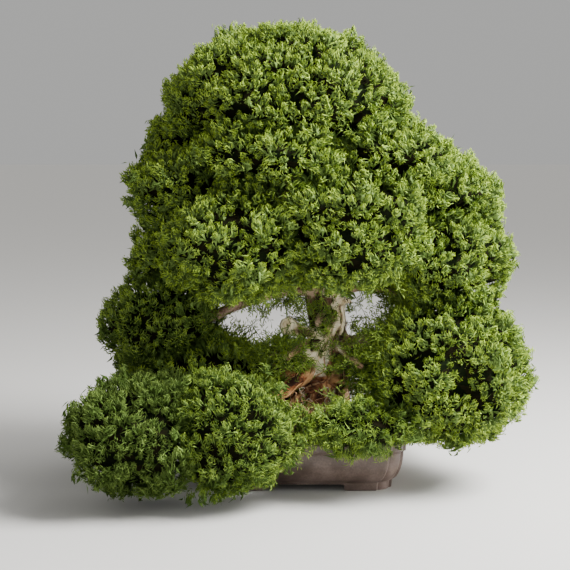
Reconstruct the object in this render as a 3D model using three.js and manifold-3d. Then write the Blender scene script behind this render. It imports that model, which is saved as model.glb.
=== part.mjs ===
// Itoigawa juniper bonsai: a thick, twisting old trunk with silvered deadwood, carried on spreading
// surface roots in a shallow unglazed pot, and clipped into a domed canopy of close foliage pads.
//
// Millimetres, +Z up. The front of the tree faces -Y. Everything is laid out round the middle of the
// pot, and the whole group is moved at the end so that the origin is the middle of its footprint.
//
// Every foliage pad is one closed body: a lumpy cushion covered all over with leafy tufts, each of
// which rises from the valleys round it to one tip. Pads that press against each other are parted by
// a plane, which leaves a narrow dark gap. Each pad sits on its own branch, which ends in a socket.

import * as THREE from "three";
import { ConvexHull } from "three/addons/math/ConvexHull.js";
import { mergeVertices } from "three/addons/utils/BufferGeometryUtils.js";
import Module from "manifold-3d";

const wasm = await Module();
wasm.setup();

// Driving dimensions
const GAP = 0.45; // left round each piece that another one is cut for
const POT_HALF_WIDTH = 150; // over the rim
const POT_HALF_DEPTH = 115;
const POT_HEIGHT = 73;
const RIM_BAND = 13; // height of the band under the rim
const RIM_WIDTH = 10;
const FOOT_HEIGHT = 10; // of the opening between two feet
const FOOT_BAND = 13; // height of the plain band that the feet are cut from
const FOOT_INSET = 20; // of the feet, from the rim's outer edge
const FOOT_WALL = 15;
const FOOT_GAP_FRONT = 119; // between the two front feet
const FOOT_GAP_SIDE = 84;
const FLOOR_TOP = 18;
const FLOOR_INSET = 30; // of the inside at the floor, from the rim's outer edge
const CORNER = 21; // width of the step that sets back each corner
const DRAIN_RADIUS = 13;
const DRAIN_OFFSET = 68; // of each drain hole, from the middle of the pot
const DRAIN_SCREEN = { size: 36, thickness: 1.2, hole: 12, holeOffset: 8 };
const SOIL_EDGE = 63; // height of the soil where it meets the pot
const MOUND_RISE = 30; // of the soil round the trunk
const MOUND_SPREAD = 52;

const TUFT_PITCH = 25.5; // between neighbouring leafy tufts
const HIDDEN_PITCH = 52; // where a pad faces its neighbour
const UNDER_PITCH = 33; // on the shaded underside of a pad
const TUFT_RISE = 16; // from the valleys to a tip
const LUMP_PITCH = 84; // between the rounded clumps that a pad is made of
const LUMP_DEPTH = 24;
const PAD_GAP = 2.4; // between pads that press against each other
const FLOOR_CLEARANCE = 5; // of the lowest foliage
const RIM_CLEARANCE = 4; // of the foliage that hangs over the pot's rim

const COLOURS = {
  pot: 0x7d6a62, screen: 0x1d1f1e, soil: 0x3f3128, bark: 0x6b4636, deadwood: 0xd9ccb4, foliage: 0x5b7a2c,
};

const vector = ([x, y, z]) => new THREE.Vector3(x, y, z);

// A seeded source of numbers from 0 to 1
function seededRandom(seed) {
  let state = seed >>> 0;
  return () => {
    state = (state + 0x6d2b79f5) >>> 0;
    let t = state;
    t = Math.imul(t ^ (t >>> 15), t | 1);
    t ^= t + Math.imul(t ^ (t >>> 7), t | 61);
    return ((t ^ (t >>> 14)) >>> 0) / 4294967296;
  };
}

// A vector that points anywhere, up to half of the amount along each axis
const jitter = (random, amount) =>
  new THREE.Vector3(random() - 0.5, random() - 0.5, random() - 0.5).multiplyScalar(amount);

function solidFromTriangles(points, triangles) {
  const vertProperties = new Float32Array(points.flatMap((p) => [p.x, p.y, p.z]));
  const made = new wasm.Manifold(
    new wasm.Mesh({ numProp: 3, vertProperties, triVerts: new Uint32Array(triangles.flat()) }));
  if (made.volume() < 0) throw new Error("a surface is inside out");
  return made;
}

function solidFromGeometry(geometry) {
  const bare = new THREE.BufferGeometry();
  bare.setAttribute("position", geometry.getAttribute("position"));
  bare.setIndex(geometry.index);
  const merged = mergeVertices(bare, 1e-3);
  return new wasm.Manifold(new wasm.Mesh({
    numProp: 3,
    vertProperties: new Float32Array(merged.attributes.position.array),
    triVerts: new Uint32Array(merged.index.array),
  }));
}

function geometryFromSolid(solid) {
  const mesh = solid.getMesh();
  const geometry = new THREE.BufferGeometry();
  geometry.setAttribute("position", new THREE.BufferAttribute(new Float32Array(mesh.vertProperties), 3));
  geometry.setIndex(new THREE.BufferAttribute(new Uint32Array(mesh.triVerts), 1));
  geometry.computeVertexNormals();
  return geometry;
}

const largestBody = (solid) =>
  solid.decompose().reduce((best, body) => (body.volume() > best.volume() ? body : best));

// Closed surface through rings of equally many points, each ring seen anticlockwise from its end
function solidFromRings(rings, startPoint, endPoint) {
  const count = rings[0].length;
  const points = [...rings.flat(), startPoint, endPoint];
  const [start, end] = [points.length - 2, points.length - 1];
  const triangles = [];
  const last = (rings.length - 1) * count;
  for (let i = 0; i < count; i++) {
    const next = (i + 1) % count;
    triangles.push([start, next, i], [end, last + i, last + next]);
    for (let ring = 0; ring < last; ring += count) {
      triangles.push([ring + i, ring + next, ring + count + i]);
      triangles.push([ring + next, ring + count + next, ring + count + i]);
    }
  }
  return solidFromTriangles(points, triangles);
}

// The pot, its screens and the soil

// Rectangle with each corner set back by a step and rounded
function potOutline(halfWidth, halfDepth, z) {
  const side = [[0, 1.2], [0.04, 0.98], [0.28, 0.84]]; // in corner widths, from the side and from the back
  const corner = [...side, [0.42, 0.42], ...side.map(([a, b]) => [b, a]).reverse()]
    .map(([a, b]) => [halfWidth - a * CORNER, halfDepth - b * CORNER]);
  const mirrored = corner.map(([x, y]) => [-x, y]).reverse();
  const back = [...corner, ...mirrored];
  return [...back, ...back.map(([x, y]) => [-x, -y])].map(([x, y]) => new THREE.Vector3(x, y, z));
}

const potRing = (inset, z) => potOutline(POT_HALF_WIDTH - inset, POT_HALF_DEPTH - inset, z);

function stackedSolid(profile) {
  const rings = profile.map(([inset, z]) => potRing(inset, z));
  return solidFromRings(rings, new THREE.Vector3(0, 0, profile[0][1]),
    new THREE.Vector3(0, 0, profile.at(-1)[1]));
}

function box(width, depth, height, x, y, z) {
  return solidFromGeometry(new THREE.BoxGeometry(width, depth, height).translate(x, y, z));
}

// Opening between two feet: flared at the floor and blunt at its upper corners
function footGap(width, length, alongX) {
  const half = [[width / 2 + 4, -1], [width / 2, FOOT_HEIGHT - 4], [width / 2 - 4, FOOT_HEIGHT]];
  const outline = [...half, ...half.map(([x, z]) => [-x, z]).reverse()];
  const shape = new THREE.Shape(outline.map(([x, z]) => new THREE.Vector2(x, z)));
  const gap = new THREE.ExtrudeGeometry(shape, { depth: length, bevelEnabled: false })
    .translate(0, 0, -length / 2).rotateX(Math.PI / 2);
  return solidFromGeometry(alongX ? gap : gap.rotateZ(Math.PI / 2));
}

function makePot() {
  const bandBottom = POT_HEIGHT - RIM_BAND;
  const outside = stackedSolid([
    [FOOT_INSET + 1, 0], [FOOT_INSET - 1, FOOT_BAND], [FOOT_INSET - 4, FOOT_BAND + 1], [11, 22], [6.5, 34],
    [4, 46], [3.4, bandBottom - 1.5], [0.8, bandBottom], [0, POT_HEIGHT - 3], [1.5, POT_HEIGHT],
  ]);
  const inside = stackedSolid([[FLOOR_INSET, FLOOR_TOP], [RIM_WIDTH, POT_HEIGHT + 1]]);
  const underside = FOOT_INSET + FOOT_WALL;
  const recess = box(2 * (POT_HALF_WIDTH - underside), 2 * (POT_HALF_DEPTH - underside), 2 * FOOT_HEIGHT,
    0, 0, 0);
  let pot = outside.subtract(inside).subtract(recess)
    .subtract(footGap(FOOT_GAP_FRONT, 3 * POT_HALF_DEPTH, true))
    .subtract(footGap(FOOT_GAP_SIDE, 3 * POT_HALF_WIDTH, false));
  for (const side of [-1, 1]) {
    const drain = new THREE.CylinderGeometry(DRAIN_RADIUS, DRAIN_RADIUS, 3 * FLOOR_TOP, 16)
      .rotateX(Math.PI / 2).translate(side * DRAIN_OFFSET, 0, FLOOR_TOP);
    pot = pot.subtract(solidFromGeometry(drain));
  }
  return pot;
}

// Plastic net over a drain hole, under the soil
function makeDrainScreen(side) {
  const { size, thickness, hole, holeOffset } = DRAIN_SCREEN;
  const z = FLOOR_TOP + GAP + thickness / 2;
  let screen = box(size, size, thickness, side * DRAIN_OFFSET, 0, z);
  for (const x of [-holeOffset, holeOffset]) {
    for (const y of [-holeOffset, holeOffset]) {
      screen = screen.subtract(box(hole, hole, 2 * thickness, side * DRAIN_OFFSET + x, y, z));
    }
  }
  return screen;
}

function soilHeight(x, y) {
  const away = Math.hypot(x - TRUNK_FOOT[0], y - TRUNK_FOOT[1]);
  return SOIL_EDGE + MOUND_RISE * Math.exp(-((away / MOUND_SPREAD) ** 2) / 2);
}

// Fills the pot, rises round the trunk, and leaves room for the wood and the drain screens
function makeSoil(thickWood) {
  const random = seededRandom(11);
  const bottom = FLOOR_TOP + GAP;
  const insetAt = (z) =>
    THREE.MathUtils.mapLinear(z, FLOOR_TOP, POT_HEIGHT + 1, FLOOR_INSET, RIM_WIDTH) + GAP;
  const edge = potRing(insetAt(SOIL_EDGE), SOIL_EDGE);
  const rings = [potRing(insetAt(bottom), bottom), edge];
  for (const share of [0.86, 0.7, 0.54, 0.36, 0.18]) {
    rings.push(edge.map((p) => {
      const x = THREE.MathUtils.lerp(TRUNK_FOOT[0], p.x, share + 0.05 * (random() - 0.5));
      const y = THREE.MathUtils.lerp(TRUNK_FOOT[1], p.y, share + 0.05 * (random() - 0.5));
      return new THREE.Vector3(x, y, soilHeight(x, y) + 3 * (random() - 0.5));
    }));
  }
  const [x, y] = TRUNK_FOOT;
  const top = new THREE.Vector3(x, y, soilHeight(x, y));
  let soil = solidFromRings(rings, new THREE.Vector3(0, 0, bottom), top).subtract(thickWood);
  const width = DRAIN_SCREEN.size + 2 * GAP;
  const height = 2 * (DRAIN_SCREEN.thickness + GAP);
  for (const side of [-1, 1]) {
    soil = soil.subtract(box(width, width, height, side * DRAIN_OFFSET, 0, bottom));
  }
  return largestBody(soil);
}

// The wood

const TRUNK_FOOT = [20, -4, 74];

// Round, tapering stem along a smooth route. Each point of the route is [x, y, z, radius].
// It may have flutes that wind round it, and grow makes it thicker all over.
function limb(route, { sides = 6, steps = 2, flutes = 0, fluteDepth = 0, twist = 0, grow = 0 } = {}) {
  const curve = new THREE.CatmullRomCurve3(route.map(vector), false, "centripetal");
  const total = (route.length - 1) * steps;
  const rings = [];
  let across = null;
  for (let k = 0; k <= total; k++) {
    const at = k / total;
    const along = curve.getTangent(at);
    if (!across) across = Math.abs(along.z) < 0.9 ? new THREE.Vector3(0, 0, 1) : new THREE.Vector3(1, 0, 0);
    across = across.clone().addScaledVector(along, -across.dot(along)).normalize();
    const beside = along.clone().cross(across);
    const place = Math.min(at * (route.length - 1), route.length - 1.0001);
    const from = Math.floor(place);
    const radius = THREE.MathUtils.lerp(route[from][3], route[from + 1][3], place - from);
    const end = k === 0 ? -grow : k === total ? grow : 0;
    const middle = curve.getPoint(at).addScaledVector(along, end);
    rings.push(Array.from({ length: sides }, (_, i) => {
      const angle = (2 * Math.PI * i) / sides;
      const reach = radius * (1 + fluteDepth * Math.cos(flutes * angle + twist * at)) + grow;
      return middle.clone().addScaledVector(across, reach * Math.cos(angle))
        .addScaledVector(beside, reach * Math.sin(angle));
    }));
  }
  const tip = (at, share) => curve.getPoint(at).addScaledVector(curve.getTangent(at), share);
  return solidFromRings(rings, tip(0, -grow), tip(1, 0.35 * route.at(-1)[3] + grow));
}

const TRUNK_ROUTE = [
  [...TRUNK_FOOT, 44], [22, -4, 108, 43], [30, -2, 146, 35], [37, 0, 190, 31], [36, 0, 236, 28],
  [26, 0, 284, 26], [8, 2, 338, 21], [-8, 4, 400, 17], [-18, 6, 462, 12], [-24, 8, 520, 8], [-26, 8, 560, 5],
];

const ROOTS = [
  [[30, -16, 166, 14], [28, -34, 168, 13], [26, -45, 161, 9]],
  [[16, -22, 134, 15], [-14, -42, 126, 12], [-44, -54, 104, 8], [-76, -60, 62, 4]],
  [[18, -24, 116, 14], [10, -48, 100, 11], [2, -70, 78, 6], [-4, -84, 58, 4]],
  [[34, -24, 118, 14], [46, -44, 100, 10], [58, -64, 78, 6], [66, -80, 58, 4]],
  [[42, -8, 118, 15], [68, -18, 102, 11], [94, -26, 78, 7], [112, -30, 58, 4]],
  [[36, 14, 116, 13], [56, 34, 98, 10], [72, 52, 76, 6], [84, 66, 56, 4]],
  [[14, 16, 116, 13], [4, 38, 98, 10], [-6, 58, 76, 6], [-12, 74, 56, 4]],
  [[4, 0, 116, 14], [-24, 8, 100, 11], [-52, 18, 78, 7], [-78, 26, 56, 4]],
];

// Each branch runs from inside the trunk to inside the pad that it carries
const BRANCHES = [
  // crown and shoulders
  [[-22, 8, 500, 7], [-50, 16, 520, 6], [-86, 20, 540, 4]],
  [[-24, 8, 510, 7], [10, 8, 530, 6], [46, 6, 548, 4]],
  [[-18, 6, 462, 9], [-30, -30, 470, 7], [-44, -84, 478, 4]],
  [[-16, 6, 450, 9], [-60, 18, 468, 7], [-110, 32, 482, 6], [-150, 40, 490, 4]],
  [[-14, 4, 440, 9], [30, -10, 458, 7], [72, -28, 476, 6], [94, -36, 484, 4]],
  // left side
  [[-4, 4, 386, 10], [-56, -4, 404, 8], [-110, -14, 420, 7], [-158, -20, 434, 5]],
  [[14, 0, 322, 11], [-50, 0, 334, 9], [-112, 0, 340, 7], [-172, 0, 342, 5]],
  [[28, -8, 288, 14], [-24, -22, 292, 12], [-84, -28, 274, 10], [-142, -32, 246, 8], [-190, -32, 236, 6],
    [-222, -30, 242, 5]],
  [[24, -14, 160, 13], [-20, -34, 168, 11], [-72, -46, 168, 9], [-126, -50, 166, 6]],
  [[24, -20, 164, 13], [0, -44, 160, 11], [-26, -66, 146, 11], [-84, -104, 130, 10],
    [-148, -144, 118, 8], [-200, -174, 110, 5]],
  [[-60, -88, 137, 8], [-72, -126, 124, 7], [-80, -168, 106, 5]],
  // front
  [[2, 0, 346, 11], [-26, -40, 350, 9], [-58, -76, 354, 7], [-86, -106, 358, 5]],
  [[8, 0, 334, 11], [34, -36, 352, 9], [50, -72, 370, 7], [62, -100, 382, 5]],
  [[44, -22, 152, 9], [56, -64, 146, 8], [64, -104, 128, 7], [67, -136, 114, 4]],
  // right side
  [[-2, 4, 380, 11], [60, 6, 396, 9], [130, 12, 412, 7], [186, 16, 424, 5]],
  [[22, 0, 300, 11], [78, -8, 302, 6], [134, -14, 310, 5], [190, -18, 324, 5]],
  [[30, 0, 286, 11], [84, 4, 288, 6], [134, 20, 280, 5], [178, 29, 270, 4]],
  [[44, -4, 202, 13], [92, -22, 208, 11], [148, -42, 190, 9], [200, -54, 166, 6]],
  // back
  [[-12, 6, 424, 9], [-44, 44, 432, 7], [-78, 80, 440, 6], [-100, 100, 444, 4]],
  [[-12, 6, 418, 9], [16, 44, 432, 7], [46, 80, 444, 6], [68, 106, 450, 4]],
  [[8, 4, 338, 10], [-40, 40, 336, 8], [-90, 76, 334, 6], [-130, 104, 332, 4]],
  [[14, 4, 322, 10], [13, 56, 332, 8], [12, 104, 338, 6], [10, 140, 340, 4]],
  [[18, 4, 306, 10], [62, 36, 318, 8], [102, 72, 326, 6], [134, 98, 330, 4]],
  [[26, 4, 190, 11], [-30, 30, 190, 9], [-94, 54, 180, 7], [-160, 72, 170, 5]],
  [[28, 8, 160, 11], [16, 54, 166, 9], [2, 100, 154, 7], [-8, 136, 144, 4]],
  [[36, 8, 176, 11], [74, 44, 178, 9], [114, 80, 164, 7], [144, 104, 154, 4]],
  // small inner sprays
  [[24, -14, 214, 7], [0, -40, 206, 5], [-26, -68, 192, 3.5]],
  [[50, -14, 206, 7], [70, -40, 190, 5], [86, -60, 176, 3.5]],
  [[34, -14, 256, 6], [26, -42, 252, 4.5], [21, -62, 240, 3.5]],
];

const DEADWOOD = [
  // strip of bare wood that winds up the front of the trunk
  { route: [[14, -33, 180, 6], [26, -31, 198, 9], [42, -28, 216, 9], [53, -22, 238, 8],
    [55, -19, 264, 6], [42, -25, 290, 6]], sides: 8, flutes: 3, fluteDepth: 0.3, twist: 4 },
  // stubs of branches that died back
  { route: [[42, -25, 222, 9], [14, -30, 222, 7], [-8, -34, 228, 9], [-22, -38, 234, 13],
    [-27, -40, 243, 10]], sides: 8, flutes: 3, fluteDepth: 0.25, twist: 2 },
  { route: [[46, -20, 262, 7], [62, -30, 272, 5], [70, -40, 270, 3]], sides: 6 },
  { route: [[40, -20, 282, 8], [38, -36, 285, 8], [36, -43, 286, 6]], sides: 7 },
  { route: [[28, -30, 196, 8], [10, -38, 190, 7], [3, -43, 197, 5]], sides: 6 },
];

function makeWood(grow) {
  const trunk = limb(TRUNK_ROUTE, { sides: 12, steps: 2, flutes: 4, fluteDepth: 0.1, twist: 5, grow });
  const roots = ROOTS.map((route) => limb(route, { sides: 6, steps: 1, flutes: 2, fluteDepth: 0.12, grow }));
  const branches = BRANCHES.map((route) => limb(route, { sides: 5, steps: 1, grow }));
  return [...roots, ...branches].reduce((wood, piece) => wood.add(piece), trunk);
}

function makeDeadwood(thickWood) {
  const strips = DEADWOOD.map(({ route, ...shape }) => limb(route, { steps: 2, ...shape }));
  return largestBody(strips.reduce((all, strip) => all.add(strip)).subtract(thickWood));
}

// The foliage

// Name, middle [x, y, z] and reach [to each side, front and back, up, down], tips included
const PADS = [
  ["pad_crown", [-26, 8, 550], [194, 165, 139, 74]],
  ["pad_front_crown", [-46, -96, 480], [120, 92, 64, 50]],
  ["pad_left_crown", [-172, 44, 496], [78, 108, 68, 66]],
  ["pad_right_crown", [124, -38, 486], [112, 118, 56, 80]],
  ["pad_upper_left", [-182, -22, 440], [90, 108, 62, 68]],
  ["pad_upper_right", [206, 14, 420], [105, 120, 72, 76]],
  ["pad_front_left", [-100, -122, 360], [115, 100, 84, 88]],
  ["pad_front_right", [68, -118, 388], [119, 104, 93, 100]],
  ["pad_middle_left", [-196, 0, 340], [72, 110, 66, 63]],
  ["pad_middle_right", [217, -20, 332], [106, 130, 90, 84]],
  ["pad_inner_right", [197, 30, 268], [70, 92, 49, 55]],
  ["pad_left_ear", [-214, -34, 240], [100, 96, 78, 74]],
  ["pad_lower_left", [-230, -180, 110], [118, 120, 84, 106]],
  ["pad_behind_lower_left", [-155, -50, 165], [124, 92, 62, 68]],
  ["pad_lower_centre", [-110, -186, 108], [112, 94, 98, 102]],
  ["pad_lower_front", [86, -150, 104], [92, 58, 50, 52]],
  ["pad_lower_right", [212, -60, 170], [134, 138, 122, 120]],
  ["pad_back_upper_left", [-118, 116, 446], [118, 112, 84, 76]],
  ["pad_back_upper_right", [84, 122, 452], [124, 112, 84, 78]],
  ["pad_back_middle_left", [-150, 118, 332], [116, 110, 80, 72]],
  ["pad_back_middle", [10, 160, 338], [102, 102, 84, 76]],
  ["pad_back_middle_right", [156, 114, 332], [114, 112, 80, 76]],
  ["pad_back_lower_left", [-186, 78, 166], [112, 106, 66, 64]],
  ["pad_back_lower", [-10, 152, 140], [96, 76, 58, 50]],
  ["pad_back_lower_right", [160, 116, 150], [112, 98, 70, 64]],
  ["spray_left_of_trunk", [-32, -72, 186], [38, 30, 34, 30]],
  ["spray_right_of_trunk", [80, -64, 174], [34, 28, 34, 32]],
  ["spray_on_trunk", [14, -66, 228], [31, 25, 31, 29]],
];

// Directions spread evenly, along a spiral from pole to pole
function evenDirections(count) {
  const turn = Math.PI * (1 + Math.sqrt(5));
  return Array.from({ length: count }, (_, i) => {
    const polar = Math.acos(1 - (2 * (i + 0.5)) / count);
    return new THREE.Vector3().setFromSphericalCoords(1, polar, turn * i);
  });
}

// How far a pad's surface is from its middle along a direction
const reachAlong = (d, [side, deep, up, down]) =>
  1 / Math.hypot(d.x / side, d.y / deep, d.z / (d.z > 0 ? up : down));

// The way out through the surface, scaled
const outwardAt = (d, [side, deep, up, down], scale = 1) =>
  new THREE.Vector3(d.x / side ** 2, d.y / deep ** 2, d.z / (d.z > 0 ? up : down) ** 2)
    .multiplyScalar(scale);

// How far an ellipsoid reaches towards a neighbour
const supportTowards = (d, [side, deep, up, down]) =>
  Math.hypot(d.x * side, d.y * deep, d.z * (d.z > 0 ? up : down));

// Planes that a pad stays behind: one to each close neighbour, the floor's and the pot rim's
function wallsOf(index) {
  const [, at, reach] = PADS[index];
  const middle = vector(at);
  const walls = [{ normal: new THREE.Vector3(0, 0, -1), distance: at[2] - FLOOR_CLEARANCE }];
  PADS.forEach(([, otherAt, otherReach], other) => {
    if (other === index) return;
    const way = vector(otherAt).sub(middle);
    const apart = way.length();
    way.normalize();
    const back = way.clone().negate();
    if (supportTowards(way, reach) + supportTowards(back, otherReach) < apart) return;
    const own = reachAlong(way, reach);
    const theirs = reachAlong(back, otherReach);
    const balance = (apart ** 2 + own ** 2 - theirs ** 2) / (2 * apart ** 2);
    const share = THREE.MathUtils.clamp(balance, 0.25, 0.75);
    const meeting = way.clone().multiplyScalar(share * apart);
    const normal = outwardAt(way, reach, share * own ** 2)
      .sub(outwardAt(back, otherReach, (1 - share) * theirs ** 2)).normalize();
    walls.push({ normal, distance: meeting.dot(normal) - PAD_GAP / 2 });
  });
  const [x, y] = [POT_HALF_WIDTH + RIM_CLEARANCE, POT_HALF_DEPTH + RIM_CLEARANCE];
  const toRim = new THREE.Vector3(THREE.MathUtils.clamp(at[0], -x, x),
    THREE.MathUtils.clamp(at[1], -y, y), POT_HEIGHT + RIM_CLEARANCE).sub(middle);
  walls.push({ distance: toRim.length(), normal: toRim.normalize() });
  return walls;
}

// Draws a point of a pad in towards the middle until it is behind every wall
function behindWalls(offset, walls) {
  let share = 1;
  for (const { normal, distance } of walls) {
    const out = offset.dot(normal);
    if (out * share > distance) share = distance / out;
  }
  return share;
}

function makePad(index, thickWood) {
  const [, at, reach] = PADS[index];
  const random = seededRandom(101 + 17 * index);
  const walls = wallsOf(index);
  const core = reach.map((r) => r - TUFT_RISE * 0.8);
  const size = Math.cbrt(core[0] * core[1] * (core[2] + core[3]) / 2);
  const lumpCount = Math.max(5, Math.round((4 * Math.PI * size ** 2) / LUMP_PITCH ** 2));
  const lumps = evenDirections(lumpCount)
    .map((d) => d.add(jitter(random, 0.5 / Math.sqrt(lumpCount))).normalize());
  const lumpDepth = Math.min(LUMP_DEPTH, 0.25 * size);
  const surfaceAt = (d) => {
    const fromLump = Math.min(...lumps.map((l) => l.distanceTo(d))) * size / (0.62 * LUMP_PITCH);
    return reachAlong(d, core) - lumpDepth * Math.min(1, fromLump ** 2);
  };

  // Tufts stand one pitch apart on the surface, and further apart where a neighbour hides them
  const candidates = evenDirections(4000);
  for (let i = candidates.length - 1; i > 0; i--) {
    const j = Math.floor(random() * (i + 1));
    [candidates[i], candidates[j]] = [candidates[j], candidates[i]];
  }
  const tufts = [];
  for (const direction of candidates) {
    const surface = direction.clone().multiplyScalar(surfaceAt(direction));
    const share = behindWalls(surface, walls);
    const place = surface.multiplyScalar(share);
    const open = outwardAt(direction, core).normalize().z < -0.5 ? UNDER_PITCH : TUFT_PITCH;
    const pitch = Math.min(share < 0.93 ? HIDDEN_PITCH : open, 0.75 * size);
    if (tufts.every((t) => t.place.distanceTo(place) > Math.min(pitch, t.pitch))) {
      tufts.push({ direction, place, pitch });
    }
  }

  // Tips lean upwards and a little at random
  const up = new THREE.Vector3(0, 0, 1);
  const tips = tufts.map(({ direction }) => {
    const growth = outwardAt(direction, core).normalize().addScaledVector(up, 0.3)
      .add(jitter(random, 0.5)).normalize();
    const tip = direction.clone().multiplyScalar(surfaceAt(direction))
      .addScaledVector(growth, TUFT_RISE * (0.75 + 0.5 * random()));
    return tip.multiplyScalar(behindWalls(tip, walls));
  });

  // Valleys lie in the middle of each three neighbouring tufts
  const directions = tufts.map((t) => t.direction);
  const numbers = new Map(directions.map((d, i) => [d, i]));
  const points = [...tips];
  const triangles = [];
  const across = new Map();
  for (const face of new ConvexHull().setFromPoints(directions).faces) {
    const corners = [0, 1, 2].map((i) => numbers.get(face.getEdge(i).head().point));
    const middle = corners.reduce((sum, i) => sum.add(directions[i]), new THREE.Vector3()).normalize();
    const valley = middle.multiplyScalar(surfaceAt(middle));
    points.push(valley.multiplyScalar(behindWalls(valley, walls)));
    corners.forEach((a, i) => across.set(`${a},${corners[(i + 1) % 3]}`, points.length - 1));
  }
  for (const [edge, left] of across) {
    const [a, b] = edge.split(",").map(Number);
    triangles.push([a, across.get(`${b},${a}`), left]);
  }
  const middle = vector(at);
  const solid = solidFromTriangles(points.map((p) => p.add(middle)), triangles);
  return largestBody(solid.subtract(thickWood));
}

// The tree

const bonsai = new THREE.Group();

function addPiece(name, solid, colour, roughness = 0.85) {
  const material = new THREE.MeshStandardMaterial({ color: colour, roughness, metalness: 0 });
  const mesh = new THREE.Mesh(geometryFromSolid(solid), material);
  mesh.name = name;
  bonsai.add(mesh);
}

const thickWood = makeWood(GAP);
addPiece("pot", makePot(), COLOURS.pot, 0.7);
addPiece("drain_screen_left", makeDrainScreen(-1), COLOURS.screen);
addPiece("drain_screen_right", makeDrainScreen(1), COLOURS.screen);
addPiece("soil", makeSoil(thickWood), COLOURS.soil, 0.95);
addPiece("trunk_and_branches", makeWood(0), COLOURS.bark);
addPiece("deadwood", makeDeadwood(thickWood), COLOURS.deadwood);
PADS.forEach(([name], index) => addPiece(name, makePad(index, thickWood), COLOURS.foliage));

const footprint = new THREE.Box3().setFromObject(bonsai).getCenter(new THREE.Vector3());
bonsai.position.set(-footprint.x, -footprint.y, 0);

export default bonsai;
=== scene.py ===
"""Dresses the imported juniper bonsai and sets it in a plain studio.

The CAD frame gives every piece its place. The foliage cushions are replaced by thousands of fine
leafy shoots that keep the cushions' form, the wood gets its stringy bark and bare, grained
deadwood, and the pot, its soil and moss get their real surfaces. Lengths are in metres; sizes of
real things are written in millimetres times MM. The front of the tree faces -Y.
"""

import logging
import math
from collections import defaultdict
from collections.abc import Callable
from dataclasses import dataclass, field, replace
from enum import Enum
from functools import partial
from itertools import product

import bmesh
import bpy
import numpy as np
from mathutils import Matrix, Vector
from mathutils.bvhtree import BVHTree
from mathutils.kdtree import KDTree


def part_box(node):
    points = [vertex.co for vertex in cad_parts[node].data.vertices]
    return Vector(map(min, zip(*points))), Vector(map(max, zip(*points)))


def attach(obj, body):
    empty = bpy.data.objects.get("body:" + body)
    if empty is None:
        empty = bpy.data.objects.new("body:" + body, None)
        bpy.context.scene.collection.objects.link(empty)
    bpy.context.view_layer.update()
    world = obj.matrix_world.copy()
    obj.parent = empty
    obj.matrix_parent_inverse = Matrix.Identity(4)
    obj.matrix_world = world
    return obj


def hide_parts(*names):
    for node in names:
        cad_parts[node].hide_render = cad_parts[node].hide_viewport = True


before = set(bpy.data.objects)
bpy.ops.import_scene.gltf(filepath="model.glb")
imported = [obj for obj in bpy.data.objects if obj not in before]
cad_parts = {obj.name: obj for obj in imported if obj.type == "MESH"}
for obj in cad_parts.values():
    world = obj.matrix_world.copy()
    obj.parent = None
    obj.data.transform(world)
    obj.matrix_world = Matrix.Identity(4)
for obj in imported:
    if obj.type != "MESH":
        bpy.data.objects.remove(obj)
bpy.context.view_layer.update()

MM = 0.001
LOG = logging.getLogger("bonsai")
UP = np.array([0.0, 0.0, 1.0])

# The shoots' colours are read from a chart: tone of the shoot across, root to tip upwards
CHART = "OFBake"
CHART_COLUMNS = 32

# Half of the width on the chart of one shoot, and of one face of anything else
SHOOT_HALF = 0.35 / CHART_COLUMNS
FACE_HALF = 0.3 / CHART_COLUMNS

# The output with which a kind of shader node feeds others here, where it isn't its first
MAIN_OUTPUTS = {"ShaderNodeAttribute": "Fac", "ShaderNodeMix": 2, "ShaderNodeTexCoord": "Object"}

# Angle in radians between one shoot and the next in a spiral
GOLDEN_TURN = 2.4

# Places that scatter tries for each square of the spacing
TRIES = 4.5

# How far a shoot's keel stands out, as a share of its width
KEEL = 0.7

Array = np.ndarray
Random = np.random.Generator
AddNode = Callable[..., bpy.types.Node]

# x, y and z of a place, from the pot's middle at table level, and a radius
Spot = tuple[float, float, float, float]

# Points of a flat shape, in order
Outline = list[tuple[float, float]]


# Small tools for meshes


def linear(colour: str) -> tuple[float, float, float, float]:
    """Turns an sRGB hex colour into the linear colour that Blender's sockets take.

    Args:
        colour: hex colour such as "#7b6a62".

    Returns:
        Red, green, blue and an alpha of 1.
    """
    parts = [int(colour[i : i + 2], 16) / 255 for i in (1, 3, 5)]
    return (*[p / 12.92 if p <= 0.04045 else ((p + 0.055) / 1.055) ** 2.4 for p in parts], 1.0)


def unit(vectors: Array) -> Array:
    """Returns the vectors scaled to a length of 1."""
    return vectors / np.maximum(np.linalg.norm(vectors, axis=-1, keepdims=True), 1e-12)


def sideways(ways: Array, random: Random) -> Array:
    """Returns a random unit vector at right angles to each way."""
    return unit(np.cross(ways, unit(random.normal(size=ways.shape))))


def on_table(place: Vector) -> Array:
    """Returns the point of the table that lies under a place."""
    return np.array([place.x, place.y, 0])


def chance(random: Random, least: float, more: float, shape: int | tuple[int, ...]) -> Array:
    """Returns random values that are evenly spread from the least to as much more."""
    return least + more * random.random(shape)


def bell(offsets: Array, radius: float) -> Array:
    """Returns how near each offset is to nothing, from 0 far away to 1."""
    return np.exp(-(offsets**2).sum(axis=1) / (2 * radius**2))


def swung(axes: Array, asides: Array, turns: Array) -> Array:
    """Swings each way round its axis.

    Args:
        axes: the axes.
        asides: a way at right angles to each axis.
        turns: angles in radians, with axes first and turns second.

    Returns:
        The way at each turn.
    """
    besides = np.cross(axes, asides)
    across, beside = np.cos(turns)[..., None], np.sin(turns)[..., None]
    return across * asides[:, None] + beside * besides[:, None]


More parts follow.
